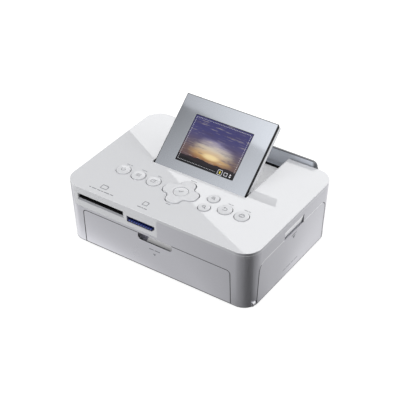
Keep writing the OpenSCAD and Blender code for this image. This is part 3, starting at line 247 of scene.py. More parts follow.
class Shape:
    """A closed form in the making. A lift is a function that turns (u, v, w) into a point of the frame."""

    def __init__(self):
        self.points, self.faces = [], []

    def walls(self, start, count, levels):
        """Adds the faces round a stack of rings of count points each."""
        for base in range(start, start + count * levels, count):
            for i in range(count):
                j = (i + 1) % count
                self.faces.append((base + i, base + j, base + count + j, base + count + i))

    def plate(self, outlines, lift):
        """Adds a plate. Each outline comes with its steps (inset, height), the outer one first."""
        ends = ([], [])
        for number, (loop, rise) in enumerate(outlines):
            start, count = len(self.points), len(loop)
            rings = [drawn_in(loop, -inset if number else inset) for inset, height in rise]
            for ring, (inset, height) in zip(rings, rise):
                self.points.extend(lift(x, y, height) for x, y in ring)
            ends[0].append((rings[0], start))
            ends[1].append((rings[-1], start + count * (len(rise) - 1)))
            self.walls(start, count, len(rise) - 1)
        for rings in ends:
            index = [start + i for ring, start in rings for i in range(len(ring))]
            flat = [[Vector((x, y, 0)) for x, y in ring] for ring, start in rings]
            self.faces += [tuple(index[i] for i in tri) for tri in tessellate_polygon(flat)]

    def bar(self, first, last):
        """Adds a straight bar between two rings of points."""
        start, count = len(self.points), len(first)
        self.points += [*first, *last]
        self.faces += [tuple(range(start, start + count)), tuple(range(start + count, start + 2 * count))]
        self.walls(start, count, 1)

    def stroke(self, line, width, lift, closed, thick):
        """Adds one flat line, which stands proud of the surface that lift puts it on by thick."""
        count = len(line)
        start = len(self.points)
        for i, (x, y) in enumerate(line):
            before = line[i - 1] if closed or i else line[i]
            after = line[(i + 1) % count] if closed or i < count - 1 else line[i]
            along = Vector((after[0] - before[0], after[1] - before[1]))
            along = along.normalized() if along.length > 1e-9 else Vector((1, 0))
            across = Vector((-along.y, along.x)) * width / 2
            left, right = (x + across.x, y + across.y), (x - across.x, y - across.y)
            self.points.extend((lift(*left, thick), lift(*right, thick),
                                lift(*right, -thick), lift(*left, -thick)))
        for i in range(count if closed else count - 1):
            a, b = start + 4 * i, start + 4 * ((i + 1) % count)
            self.faces.extend((a + k, a + (k + 1) % 4, b + (k + 1) % 4, b + k) for k in range(4))
        if not closed:
            self.faces.extend(tuple(range(end, end + 4)) for end in (start, start + 4 * (count - 1)))

    def piece(self, name, body, slot, finish=None, replaced=()):
        """The form as a piece. It takes the finish of its slot where none is given."""
        mesh = bpy.data.meshes.new(name)
        work = bmesh.new()
        corners = [work.verts.new(p) for p in self.points]
        for face in self.faces:
            work.faces.new([corners[i] for i in face])
        bmesh.ops.remove_doubles(work, verts=work.verts, dist=1e-8)
        bmesh.ops.recalc_face_normals(work, faces=work.faces)
        work.to_mesh(mesh)
        work.free()
        return piece_from(name, mesh, body, slot, finish, replaced)


def plate(name, outlines, lift, body, slot, finish=None, replaced=()):
    shape = Shape()
    shape.plate(outlines, lift)
    return shape.piece(name, body, slot, finish, replaced)


def bar(name, ring, ends, lift, body, slot, finish):
    """A piece that is one straight bar, with its ring of points at both ends."""
    shape = Shape()
    shape.bar(*([lift(a, b, end) for a, b in ring] for end in ends))
    return shape.piece(name, body, slot, finish)


def drawing(name, body, slot, finish, lift, lines, blots=(), thick=0.03):
    """A piece of flat lines (path, width, closed) and filled outlines."""
    shape = Shape()
    for path, width, closed in lines:
        shape.stroke(path, width, lift, closed, thick)
    for loop in blots:
        shape.plate([(loop, [(0.0, -thick), (0.0, thick)])], lift)
    return shape.piece(name, body, slot, finish)


def turned(name, profile, x, y, body, slot, replaced, steps=72):
    """A round piece: profile (radius, height) from the bottom's middle to the top's, turned about Z."""
    shape = Shape()
    for radius, height in profile:
        shape.points.extend(place(x + radius * cos(2 * pi * i / steps),
                                  y + radius * sin(2 * pi * i / steps), height) for i in range(steps))
    shape.walls(0, steps, len(profile) - 1)
    return shape.piece(name, body, slot, None, replaced)


def softened_copy(name, node, body, slot, *passes):
    """A new piece with the node's form and rounded edges. Each pass is (choice of edges, width)."""
    work = bmesh.new()
    work.from_mesh(frame["nodes"][node].data)
    bmesh.ops.remove_doubles(work, verts=work.verts, dist=2e-6)
    bmesh.ops.dissolve_limit(work, angle_limit=radians(0.4), verts=work.verts, edges=work.edges)
    for choose, width in passes:
        chosen = [edge for edge in work.edges
                  if len(edge.link_faces) == 2 and edge.calc_face_angle(0) > BEVEL_FROM
                  and choose(*(in_body(v.co) for v in edge.verts))]
        if chosen:
            bmesh.ops.bevel(work, geom=chosen, offset=width * MM, offset_type="OFFSET", segments=3,
                            profile=0.5, affect="EDGES", clamp_overlap=True)
    mesh = bpy.data.meshes.new(name)
    work.to_mesh(mesh)
    work.free()
    return piece_from(name, mesh, body, slot, None, (node,))


# ---- finishes ----

def term(operation, swapped=False):
    """A Channel's method that adds one Math node."""
    def method(self, other):
        first, second = (other, self) if swapped else (self, other)
        return self.nodes.node("ShaderNodeMath", {"operation": operation}, {0: first, 1: second})
    return method


class Channel:
    """One value that changes over a surface. Sums and products add Math nodes, and | is the larger of two."""

    def __init__(self, nodes, socket):
        self.nodes, self.socket = nodes, socket

    __add__ = __radd__ = term("ADD")
    __mul__ = __rmul__ = term("MULTIPLY")
    __sub__, __rsub__ = term("SUBTRACT"), term("SUBTRACT", swapped=True)
    __truediv__ = term("DIVIDE")
    __lt__, __gt__ = term("LESS_THAN"), term("GREATER_THAN")
    __or__ = term("MAXIMUM")

    def between(self, start, stop, low=0.0, high=1.0):
        """Runs smoothly from low at start to high at stop."""
        return self.nodes.node("ShaderNodeMapRange", {"interpolation_type": "SMOOTHSTEP"},
                               {0: self, 1: start, 2: stop, 3: low, 4: high})


class Nodes:
    """A tree of nodes in the making."""

    def __init__(self, tree):
        self.tree = tree
        tree.nodes.clear()

    def feed(self, socket, value):
        if isinstance(value, Channel):
            self.tree.links.new(value.socket, socket)
        elif hasattr(value, "__len__") and len(socket.default_value) == 4:
            socket.default_value = (*value[:3], 1.0)
        else:
            socket.default_value = value

    def node(self, kind, settings=None, inputs=None, out=0):
        """Adds a node: its settings come first, then the values or links of its sockets."""
        made = self.tree.nodes.new(kind)
        for key, value in (settings or {}).items():
            if key == "stops":
                ramp = made.color_ramp
                while len(ramp.elements) < len(value):
                    ramp.elements.new(0.5)
                for element, (spot, shade) in zip(ramp.elements, value):
                    element.position, element.color = spot, (*shade, 1.0)
            else:
                setattr(made, key, value)
        for key, value in (inputs or {}).items():
            self.feed(made.inputs[key], value)
        return Channel(self, made.outputs[out]) if made.outputs else made

    def mixed(self, share, first, second):
        return self.node("ShaderNodeMix", {"data_type": "RGBA"}, {0: share, 6: first, 7: second}, 2)

    def rays(self, *kinds):
        """1 for rays of any of these kinds, and 0 for all others."""
        first, *others = (self.node("ShaderNodeLightPath", out=f"Is {kind} Ray") for kind in kinds)
        for other in others:
            first = first | other
        return first


class Finish(Nodes):
    """A material in the making: one Principled shader and the nodes that feed it."""

    def __init__(self, name, **constants):
        self.material = bpy.data.materials.new(name)
        self.material.use_nodes = True
        super().__init__(self.material.node_tree)
        surface = self.node("ShaderNodeBsdfPrincipled")
        self.node("ShaderNodeOutputMaterial", None, {"Surface": surface})
        self.shader = surface.socket.node
        self.set(**constants)

    def set(self, **inputs):
        for key, value in inputs.items():
            self.feed(self.shader.inputs[key.replace("_", " ")], value)
        return self.material

    def spot(self):
        """The place on the piece, in metres of the frame."""
        return self.node("ShaderNodeTexCoord", out="Object")

    def axes(self, spot):
        split = self.node("ShaderNodeSeparateXYZ", None, {0: spot})
        return [Channel(self, socket) for socket in split.socket.node.outputs]

    def spread(self, spot, scale, turn=(0, 0, 0), shift=(0, 0, 0)):
        return self.node("ShaderNodeMapping", None, {0: spot, 1: shift, 2: turn, 3: scale})

    def noise(self, spot, scale, detail=2.0, rough=0.5):
        return self.node("ShaderNodeTexNoise", None, {0: spot, 2: scale, 3: detail, 4: rough})

    def cells(self, spot, scale, out="Distance"):
        """A fine crystal pattern: the distance to each cell's middle, or each cell's own Color."""
        return self.node("ShaderNodeTexVoronoi", {"feature": "F1"}, {0: spot, 2: scale}, out)

    def layered(self, base, first, *layers):
        """The base colour in its first shade, with layers (share, shade) over it."""
        body = shaded(base, first)
        for share, shade in layers:
            body = self.mixed(share, body, shaded(base, shade))
        return body

    def soft_edges(self, radius):
        return self.node("ShaderNodeBevel", {"samples": 4}, {0: radius * MM})

    def bumped(self, height, depth, normal=None):
        inputs = {"Strength": 1.0, "Distance": depth * MM, "Height": height}
        if normal is not None:
            inputs["Normal"] = normal
        return self.node("ShaderNodeBump", None, inputs)

    def edge_wear_and_shade(self, normal):
        """How far an edge's rounded normal leaves the flat one."""
        flat = self.node("ShaderNodeNewGeometry", out="Normal")
        along = self.node("ShaderNodeVectorMath", {"operation": "DOT_PRODUCT"}, {0: normal, 1: flat}, "Value")
        return (1 - along).between(0.02, 0.25)


def moulded_plastic(name, base, rough, grain=0.006, edge=0.3, mottle=0.03, pale_edge=1.08, **constants):
    """Injection-moulded plastic: a fine spark-eroded grain, slight clouding and rubbed edges."""
    finish = Finish(name, **constants)
    spot = finish.spot()
    clouds = finish.noise(spot, 45.0, 3.0)
    fine = finish.noise(spot, 5200.0, 2.0, 0.6)
    smears = finish.noise(finish.spread(spot, (60, 12, 30)), 4.0, 4.0, 0.65)
    rounded = finish.soft_edges(edge)
    body = finish.layered(base, 1 - mottle, (clouds, 1 + mottle), (fine * 0.35, 0.93),
                          (finish.edge_wear_and_shade(rounded) * 0.6, pale_edge))
    return finish.set(Base_Color=body, Roughness=rough + (smears - 0.5) * rough * 0.35 + fine * rough * 0.15,
                      Normal=finish.bumped(fine, grain, rounded))


def satin_paint(name, base, rough, metallic, edge=0.3, trim=None):
    """Silver paint on plastic: metal flakes under a satin lacquer. A trim adds its own bands of colour, such
    as painted light and shade.
    """
    finish = Finish(name)
    spot = finish.spot()
    flakes = finish.node("ShaderNodeSeparateColor", None, {0: finish.cells(spot, 5200.0, "Color")})
    clouds = finish.noise(spot, 30.0, 3.0)
    rounded = finish.soft_edges(edge)
    body = finish.layered(base, 0.96, (flakes, 1.04), (clouds * 0.5, 0.97),
                          (finish.edge_wear_and_shade(rounded) * 0.5, 1.1))
    metal = metallic + (flakes - 0.5) * 0.06
    if trim:
        body, metal = trim(finish, spot, body, metal)
    return finish.set(Base_Color=body, Metallic=metal,
                      Roughness=rough + (flakes - 0.5) * 0.04 + (clouds - 0.5) * 0.04,
                      Normal=finish.bumped(flakes, 0.0003, rounded))


def rim_painted_light_and_shade(finish, spot, body, metal):
    """The cover's rim: a strip 2.7 mm high under the top edge, painted lighter on the front and darker on the
    right side as painted light and shade, and the fine pale line that ends it, a painted highlight along the
    groove there.
    """
    x, y, z = finish.axes(spot)
    height = (z - MIDDLE.z) / MM
    # painted light and shade: the strip is lighter on the front and darker on the right side
    right = (x - MIDDLE.x).between(0.055, 0.083)
    strip = finish.mixed(right, colour(214, 215, 218), colour(202, 203, 208))
    # painted highlight: a pale line along the groove at the strip's foot
    line = height.between(51.95, 52.05) * height.between(52.4, 52.3) * right
    body = finish.mixed(height.between(52.1, 52.2), body, strip)
    body = finish.mixed(line * 0.7, body, colour(236, 237, 240))
    by_slots = (x < place(2.9, 0, 0).x) * (x > place(-79.5, 0, 0).x) * (y < place(0, -55, 0).y)
    return finish.mixed(by_slots, body, colour(196, 197, 200)), metal * (1 - line * 0.6) * (1 - by_slots)


def rear_finish(base):
    """Blue-grey lacquer, darker on the back face, nearer its own tone, and lighter on the face towards the
    recess as painted light, and dark along its edges, its top edge and its right end as painted shade.
    """
    finish = Finish("rear_grey", Metallic=0.1)
    spot = finish.spot()
    x, y, z = finish.axes(spot)
    fine = finish.noise(spot, 3200.0, 2.0, 0.6)
    rounded = finish.soft_edges(0.5)
    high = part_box("rear_cover")[1]
    facing = finish.axes(finish.node("ShaderNodeTexCoord", out="Normal"))
    # painted shade on the rounded right end and along the top edge
    right_end_shade = x.between(high.x - 0.0065, high.x - 0.003) * z.between(0.045, 0.05)
    top = z.between(high.z - 0.0009, high.z - 0.0005)
    # painted light and shade: the face towards the recess keeps the lighter base, the back face half of it,
    # and the edges, top edge and right end are darker
    body = finish.layered(base, 1, (facing[1].between(0.2, 0.4), 0.5), (fine * 0.3, 0.4),
                          (finish.edge_wear_and_shade(rounded) * 0.6, 0.5), (top | right_end_shade, 0.16))
    return finish.set(Base_Color=body, Roughness=0.4 + fine * 0.06,
                      Normal=finish.bumped(fine, 0.002, rounded))


def notch_painted_shade():
    """The light slope in the paper door's notch, dusty and darker towards the slit at its foot, the darkening
    painted shade.
    """
    finish = Finish("notch_painted_shade")
    spot = finish.spot()
    height = (finish.axes(spot)[2] - MIDDLE.z) / MM
    fine = finish.noise(spot, 5200.0, 2.0, 0.6)
    # painted shade: the slope darkens from light grey to dark grey towards the slit
    body = finish.mixed(height.between(26.6, 30.2), colour(110, 110, 112), colour(238, 238, 239))
    return finish.set(Base_Color=finish.mixed(fine * 0.3, body, colour(214, 214, 215)),
                      Roughness=0.42 + fine * 0.1, Normal=finish.bumped(fine, 0.004))


def worked_metal(name, base, rough, lines=(400, 4000, 4000), edge=0.2, tarnish=0.9):
    """Rolled, drawn or turned metal, with its fine lines along one axis and slight tarnish."""
    finish = Finish(name, Metallic=1.0)
    spot = finish.spot()
    brushed = finish.noise(finish.spread(spot, lines), 1.0, 3.0, 0.6)
    clouds = finish.noise(spot, 160.0, 3.0)
    rounded = finish.soft_edges(edge)
    body = finish.layered(base, 1, (clouds.between(0.35, 0.7), tarnish), (brushed * 0.4, 0.82))
    return finish.set(Base_Color=body, Roughness=rough + (brushed - 0.5) * 0.14,
                      Normal=finish.bumped(brushed, 0.002, rounded))


def rubber(name, base, rough=0.75):
    finish = Finish(name)
    spot = finish.spot()
    pores = finish.noise(spot, 3500.0, 3.0, 0.7)
    dust = finish.noise(spot, 220.0, 4.0, 0.6)
    rounded = finish.soft_edges(0.25)
    body = finish.layered(base, 1, (dust.between(0.5, 0.75) * 0.35, 1.9), (pores * 0.5, 0.7))
    return finish.set(Base_Color=body, Roughness=rough + (pores - 0.5) * 0.2,
                      Normal=finish.bumped(pores, 0.012, rounded))


def circuit_board(name, base):
    """Green solder mask with traces under it and tinned pads."""
    finish = Finish(name)
    spot = finish.spot()
    lanes = finish.node("ShaderNodeTexBrick", None, {
        "Vector": finish.spread(spot, (1, 1, 0)), "Scale": 240.0, "Mortar Size": 0.06,
        "Mortar Smooth": 0.1, "Brick Width": 1.6, "Row Height": 0.5}, "Fac")
    pads = finish.cells(spot, 190.0) < 0.16
    body = finish.mixed(pads, finish.layered(base, 1, (lanes, 1.55)), colour(196, 198, 190))
    return finish.set(Base_Color=body, Metallic=pads * 0.8, Roughness=0.42 - pads * 0.12,
                      Normal=finish.bumped(lanes + pads, 0.02, finish.soft_edges(0.15)))


# ---- what a user may change ----

class PrinterSizes(bpy.types.PropertyGroup):
    """Roundings and line widths, in millimetres."""
    cover_rim: FloatProperty(name="Cover rim", description="Rounding of the top cover's outer rim",
                             default=0.3, min=0.1, max=1.5)
    hole_rim: FloatProperty(name="Hole rim", description="Rounding of the cover's holes round the keys",
                            default=0.22, min=0.05, max=0.5)
    door_rim: FloatProperty(name="Door rim", description="Rounding of the doors' edges",
                            default=0.3, min=0.05, max=0.8)
    key_rim: FloatProperty(name="Key rim", description="Rounding of the keys' edges",
                           default=0.35, min=0.1, max=0.9)
    display_rim: FloatProperty(name="Display rim", description="Rounding of the display's plates",
                               default=0.35, min=0.05, max=0.7)
    symbol_line: FloatProperty(name="Symbol line", description="Width of the lines printed on the keys",
                               default=0.42, min=0.1, max=0.8)


class PrinterColours(bpy.types.PropertyGroup):
    """Base colours of the main finishes."""
    cover: FloatVectorProperty(name="Cover", description="Glossy white of the top cover", subtype="COLOR",
                               default=colour(223, 224, 227), min=0, max=1)
    silver: FloatVectorProperty(name="Body silver", description="Satin silver of the body and doors",
                                subtype="COLOR", default=colour(203, 203, 209), min=0, max=1)
    bezel: FloatVectorProperty(name="Display bezel", description="Blue-grey silver round the screen",
                               subtype="COLOR", default=colour(188, 192, 199), min=0, max=1)
    # a lighter copy of the rear cover's blue-grey, painted light on the face towards the recess
    rear: FloatVectorProperty(name="Rear cover", description="Blue-grey of the rear cover",
                              subtype="COLOR", default=colour(224, 229, 238), min=0, max=1)
    symbols: FloatVectorProperty(name="Symbols", description="Grey of the printed symbols",
                                 subtype="COLOR", default=colour(112, 114, 120), min=0, max=1)


def sizes():
    return bpy.context.scene.printer_sizes


def colours():
    return bpy.context.scene.printer_colours


FINISHES = {}


def make_finishes():
    """Makes one finish for each material slot of the record."""
    tone = colours()
    for maker, name, base, *values in (
            (moulded_plastic, "gloss_white", tone.cover, 0.012, 0.00005, 0.35, 0.01),
            (moulded_plastic, "panel_white", shaded(tone.cover, 0.76), 0.24, 0.002, 0.25, 0.015),
            (satin_paint, "satin_silver", tone.silver, 0.3, 0.93),
            (moulded_plastic, "key_white", shaded(tone.cover, 0.98), 0.2, 0.001, 0.2, 0.015),
            (moulded_plastic, "base_grey", colour(150, 151, 155), 0.55, 0.02),
            (rubber, "foot_rubber", colour(44, 44, 46)),
            (satin_paint, "bezel_silver", tone.bezel, 0.06, 0.88, 0.2),
            (moulded_plastic, "back_white", shaded(tone.cover, 0.97), 0.22, 0.0015, 0.4, 0.015),
            (moulded_plastic, "screen_glass", colour(20, 20, 26), 0.1, 0.0005, 0.1, 0.1, 1.4),
            (worked_metal, "lcd_metal", colour(168, 170, 174), 0.34),
            (moulded_plastic, "socket_blue", colour(8, 16, 62), 0.4, 0.004, 0.2, 0.06, 1.3),
            (circuit_board, "board_green", colour(20, 84, 50)),
            (worked_metal, "screw_steel", colour(176, 176, 180), 0.32, (3000, 3000, 300)),
            (worked_metal, "chassis_steel", colour(170, 172, 176), 0.42, (2500, 300, 2500)),
            (moulded_plastic, "guide_black", colour(46, 46, 50), 0.5, 0.01, 0.3, 0.08, 1.5),
            (rubber, "roller_rubber", colour(48, 48, 50), 0.7),
            (moulded_plastic, "gear_white", colour(214, 210, 196), 0.45, 0.006, 0.12),
            (worked_metal, "brass", colour(206, 170, 96), 0.3, (400, 4000, 4000), 0.12, 0.8),
            (moulded_plastic, "cassette_grey", colour(190, 191, 194), 0.45, 0.008),
            (moulded_plastic, "ribbon", colour(196, 150, 40), 0.3, 0.002, 0.15, 0.12),
            (worked_metal, "head_alu", colour(196, 198, 202), 0.34, (300, 4000, 4000)),
            (moulded_plastic, "lever_orange", colour(214, 124, 44), 0.42, 0.008)):
        FINISHES[name] = maker(name, base, *values)
    FINISHES["rear_grey"] = rear_finish(tone.rear)
    FINISHES["frame_black"] = moulded_plastic("frame_black", colour(13, 13, 15), 0.5, 0.004, 0.2, 0.1, 1.6,
                                              IOR=1.3)


class PRINTER_OT_finishes(bpy.types.Operator):
    """Makes the finishes and gives each node of the frame its own"""
    bl_idname = "printer.finishes"
    bl_label = "Finishes"

    def execute(self, context):
        make_finishes()
        for part in frame["record"]["subparts"]:
            dress(frame["nodes"][part["node"]], part["material_slot"])
        # the display's tray gets a near white lighter than the cover, painted light where the display shades
        # it
        dress(frame["nodes"]["display_tray"],
              moulded_plastic("tray_painted_light_white", colour(252, 252, 253), 0.42, 0.003, 0.35, 0.01))
        return {"FINISHED"}


class PRINTER_OT_casing(bpy.types.Operator):
    """Builds the body's skins and doors with rounded edges, and what lines their gaps, slots and pulls"""
    bl_idname = "printer.casing"
    bl_label = "Casing"

    def execute(self, context):
        self.cover()
        shell = softened_copy("body_shell_skin", "body_shell", "printer", "satin_silver",
                              (lambda a, b: all(abs(p.x) > HALF_W - 4.2 or abs(p.y) > HALF_D - 4.2
                                                for p in (a, b)), 0.08))
        self.kept_inside(shell)
        softened_copy("slot_panel_skin", "slot_panel", "printer", "panel_white",
                      (lambda a, b: min(-a.y, -b.y) > HALF_D - 2.0, 0.18))
        self.rear()
        self.doors()
        # near black for sheets laid in the slots and the recess gap, painted shade
        black = moulded_plastic("slot_shade_black", colour(5, 5, 7), 0.6, 0.004, 0.05, 0.1, 1.4, IOR=1.2)
        self.wide_slot_linings(black)
        self.small_slot_contacts(black)
        self.notch_slope()
        self.rear_wall(black)
        self.pull_lining()
        self.knuckle()
        self.seams()
        self.base_line()
        return {"FINISHED"}

    def cover(self):
        """The glossy top cover, with silver paint on its upright faces."""
        def rim(a, b):
            edge_of_plan = all(abs(p.x) > HALF_W - 1 or abs(p.y) > HALF_D - 1
                               or (abs(p.x) > CORNER_X - 0.1 and abs(p.y) > CORNER_Y - 0.1) for p in (a, b))
            return edge_of_plan and min(a.z, b.z) > COVER_TOP - 0.05

        def hole(a, b):
            return min(a.z, b.z) > COVER_TOP - 0.02

        cover = softened_copy("cover_skin", "top_cover", "printer", "gloss_white",
                              (rim, sizes().cover_rim), (hole, sizes().hole_rim))
        cover.data.materials.append(
            satin_paint("cover_rim_silver", colours().silver, 0.3, 0.93, 0.2, rim_painted_light_and_shade))
        for face in cover.data.polygons:
            spot = in_body(face.center)
            corner = hypot(max(0, abs(spot.x) - CORNER_X), max(0, abs(spot.y) - CORNER_Y))
            if corner > 12.2 and abs(face.normal.z) < 0.5 and spot.z < COVER_TOP - 0.32:
                face.material_index = 1

    def rear(self):
        """The rear cover, whose upper right end is drawn in behind the round corner."""
        rear = softened_copy("rear_cover_skin", "rear_cover", "printer", "rear_grey",
                             (lambda a, b: min(a.z, b.z) > 50.3 and min(a.y, b.y) > HALF_D, 0.35))
        for vertex in rear.data.vertices:
            x, y, z = in_body(vertex.co)
            if x > 66 and z > 50.3:
                vertex.co.x -= 1.6 * MM

    def doors(self):
        """The paper door in front and the ink door on the right."""
        rim = sizes().door_rim
        paper = softened_copy("paper_door_skin", "paper_door", "paper_flap", "satin_silver",
                              (lambda a, b: min(-a.y, -b.y) > HALF_D - 2.7, rim))
        ink = softened_copy("ink_door_skin", "ink_door", "ink_flap", "satin_silver",
                            (lambda a, b: min(a.x, b.x) > HALF_W - 2.7, rim))
        for door, axis, half in ((paper, 0, 73.0), (ink, 1, 50.0)):
            self.drawn_clear(door, axis, half)
            self.kept_inside(door)
        for vertex in ink.data.vertices:
            x, y, z = in_body(vertex.co)
            if x < 84 and abs(y) < 14.4 and z > 36:
                vertex.co += Vector((1.7, 0, -2.4)) * MM

    def kept_inside(self, piece):
        """Draws in whatever lies outside the body's leaning sides, such as the ends of the hinge bosses."""
        for vertex in piece.data.vertices:
            x, y, z = in_body(vertex.co)
            over_x, over_y = max(0, abs(x) - CORNER_X), max(0, abs(y) - CORNER_Y)
            room = CORNER_R - lean_at(z)
            out = hypot(over_x, over_y)
            if out > room + 0.02 and z < 10:
                pull = (room - 0.2) / out
                vertex.co.x -= (1 - pull) * over_x * MM * (1 if x > 0 else -1)
                vertex.co.y -= (1 - pull) * over_y * MM * (1 if y > 0 else -1)

    def drawn_clear(self, door, axis, half, clear=0.16, foot=8, high=39.0):
        """Draws a door's outline in a little, so that the seam round it shows as a dark line."""
        for vertex in door.data.vertices:
            vertex.co[axis] = MIDDLE[axis] + (vertex.co[axis] - MIDDLE[axis]) * (1 - clear / half)
            height = (vertex.co.z - MIDDLE.z) / MM
            if height > foot:
                vertex.co.z -= clear * MM * (height - foot) / (high - foot)

    def wide_slot_linings(self, black):
        """A black sheet, painted shade where the wide card mouth is dark, and the lip in front of it, both on
        the mouth's sloping floor.
        """
        lip = moulded_plastic("slot_lip_silver", colour(146, 147, 152), 0.45, 0.004, 0.05)
        back, depth, top, fall = -HALF_D + 2.5, 2.0, 44.12, 2.156
        for name, start, stop, finish in (("wide_slot_shade", 0.0, 0.42, black),
                                          ("wide_slot_lip", 0.42, 0.97, lip)):
            ring = [(back - depth * t, top - fall * t + lift)
                    for t, lift in ((start, 0.02), (stop, 0.02), (stop, 0.22), (start, 0.22))]
            bar(name, ring, (-74.0, -29.4), along_x, "printer", "frame_black", finish)

    def small_slot_contacts(self, black):
        """The row of guide ribs on the floor of the small card slot, with black sheets behind them and at the
        slot's right end, painted shade where the slot is dark.
        """
        low, high = SLOT_FLOOR - 0.02, SLOT_FLOOR + 0.1
        shape = Shape()
        for i in range(10):
            x = -23.9 + 2.25 * i
            shape.bar(*([place(side + lean, y, z) for y, z, lean in (
                (-60.6, low, 0.5), (-60.6, high, 0.5), (-62.4, high, 0), (-62.45, SLOT_FLOOR - 1.2, -0.6),
                (-62.2, SLOT_FLOOR - 1.2, -0.6), (-62.2, low, 0))] for side in (x, x + 0.8)))
        shape.piece("small_slot_ribs", "printer", "socket_blue",
                    moulded_plastic("rib_blue", colour(62, 82, 172), 0.3, 0.002, 0.05))
        # painted shade: black sheets on the slot's floor
        shape = Shape()
        for corners in ((-24.8, -60.6, -0.6, -58.8), (-2.1, -62.2, -0.6, -60.6)):
            shape.plate([(oblong(*corners), [(0, low), (0, high)])], place)
        shape.piece("small_slot_shade", "printer", "frame_black", black)

    def notch_slope(self):
        """The light slope behind the paper door's notch, with painted shade towards its foot."""
        ring = [(-60.9, 27.05), (-54.5, 32.2), (-54.5, 31.6), (-60.4, 26.4)]
        bar("notch_slope", ring, (-8.6, 15.9), along_x, "paper_flap", "panel_white", notch_painted_shade())

    def rear_wall(self, black):
        """A black strip in the gap at the rear of the display's recess, painted shade, and two fine ribs
        along the wall behind it, pale as painted highlights.
        """
        plate("recess_gap_shade", [(oblong(-44.6, 60.35, 44.6, 62.3), [(0, 42.6), (0, 44.9)])], place,
              "printer", "frame_black", black)
        shape = Shape()
        for z in (46.9, 45.5):
            shape.plate([(oblong(-44.6, z - 0.12, 44.6, z + 0.12), [(0, 0.0), (0, 0.14)])],
                        lambda x, v, w: place(x, 64.5 - w, v))
        shape.piece("rear_wall_ribs", "printer", "rear_grey",
                    moulded_plastic("rib_highlight_grey", colour(232, 235, 241), 0.3, 0.002, 0.05))

    def pull_lining(self):
        """The pull above the ink door: a back that slopes in, near white as painted light, and its two ends,
        dark grey as painted shade.
        """
        ring = [(88.2, 46.8), (86.0, 37.7), (85.6, 37.7), (87.3, 46.8)]
        bar("pull_back_slope", ring, (-14.3, 14.3), along_y, "printer", "panel_white",
            moulded_plastic("pull_painted_light_white", colour(242, 243, 245), 0.4, 0.004))
        end = [(88.3, 47.0), (84.2, 47.0), (84.2, 36.9), (85.3, 36.9), (88.1, 40.0)]
        shape = Shape()
        for y in (-14.45, 14.25):
            shape.plate([(end, [(0, 0.0), (0, 0.2)])], lambda x, v, w: place(x, y + w, v))
        shape.piece("pull_ends", "printer", "base_grey",
                    moulded_plastic("pull_end_shade_grey", colour(120, 121, 126), 0.5, 0.01))

    def knuckle(self):
        """The turned front end of the ink door's hinge, which stands out at the foot of the corner."""
        x, z, long = 84.9, 2.75, 3.6
        plate("door_knuckle", [(circle(x, z, 2.1, 28), round_over(0, long, 0.45)),
                               (circle(x, z, 0.7, 28), [(0, 0), (0, long)])],
              lambda x, v, w: place(x, w - 55.2, v), "printer", "satin_silver",
              satin_paint("knuckle_silver", colour(226, 227, 231), 0.16, 0.93, 0.2))

    def seams(self):
        """Strips in the gaps round the two doors, which show as fine lines: dark ones as painted shade, and a
        pale one along the ink door's top edge as a painted highlight.
        """
        dark = rubber("seam_painted_shade", colour(40, 40, 44), 0.6)
        light = moulded_plastic("seam_painted_highlight", colour(244, 245, 247), 0.35, 0.002, 0.05, 0.02)
        paper = ([(-70.1, 0.7), (-70.1, 30.2), *arc(-67.0, 30.2, 3.1, 180, 90, 8), (-16.5, 33.3)],
                 [(16.2, 33.3), (66.5, 33.3), *arc(66.5, 30.2, 3.1, 90, 0, 8), (69.6, 0.7)])
        ink = ([(-50.1, 0.7), (-50.1, 32.5), *arc(-43.0, 32.5, 7.1, 180, 130, 8)],
               [*arc(42.5, 32.5, 7.1, 70, 0, 8), (49.6, 32.5), (49.6, 0.7)])
        ink_top = ([*arc(-43.0, 32.5, 7.1, 130, 90, 6), (-14.7, 39.6)],
                   [(14.7, 39.6), *arc(42.5, 32.5, 7.1, 90, 70, 6)])
        for name, paths, width, side, finish in (("paper_door_seam", paper, 0.62, on_front, dark),
                                                 ("ink_door_seam", ink, 0.6, on_side, dark),
                                                 ("ink_door_top_highlight", ink_top, 0.5, on_side, light)):
            drawing(name, "printer", "frame_black", finish, lambda u, v, w: side(u, v, w - 0.15),
                    [(spaced(path, 4.0), width, False) for path in paths], thick=0.17)

    def base_line(self):
        """The dark line round the body's foot."""
        outlines = [(soft_rect(inset - HALF_W, inset - HALF_D, HALF_W - inset, HALF_D - inset,
                               CORNER_R - inset, 12), [(0, 0.05), (0, 0.55)])
                    for inset in (SIDE_LEAN - 0.04, 4)]
        plate("base_line", outlines,
              place, "printer", "base_grey", moulded_plastic("base_line_grey", colour(88, 88, 92), 0.6, 0.01))


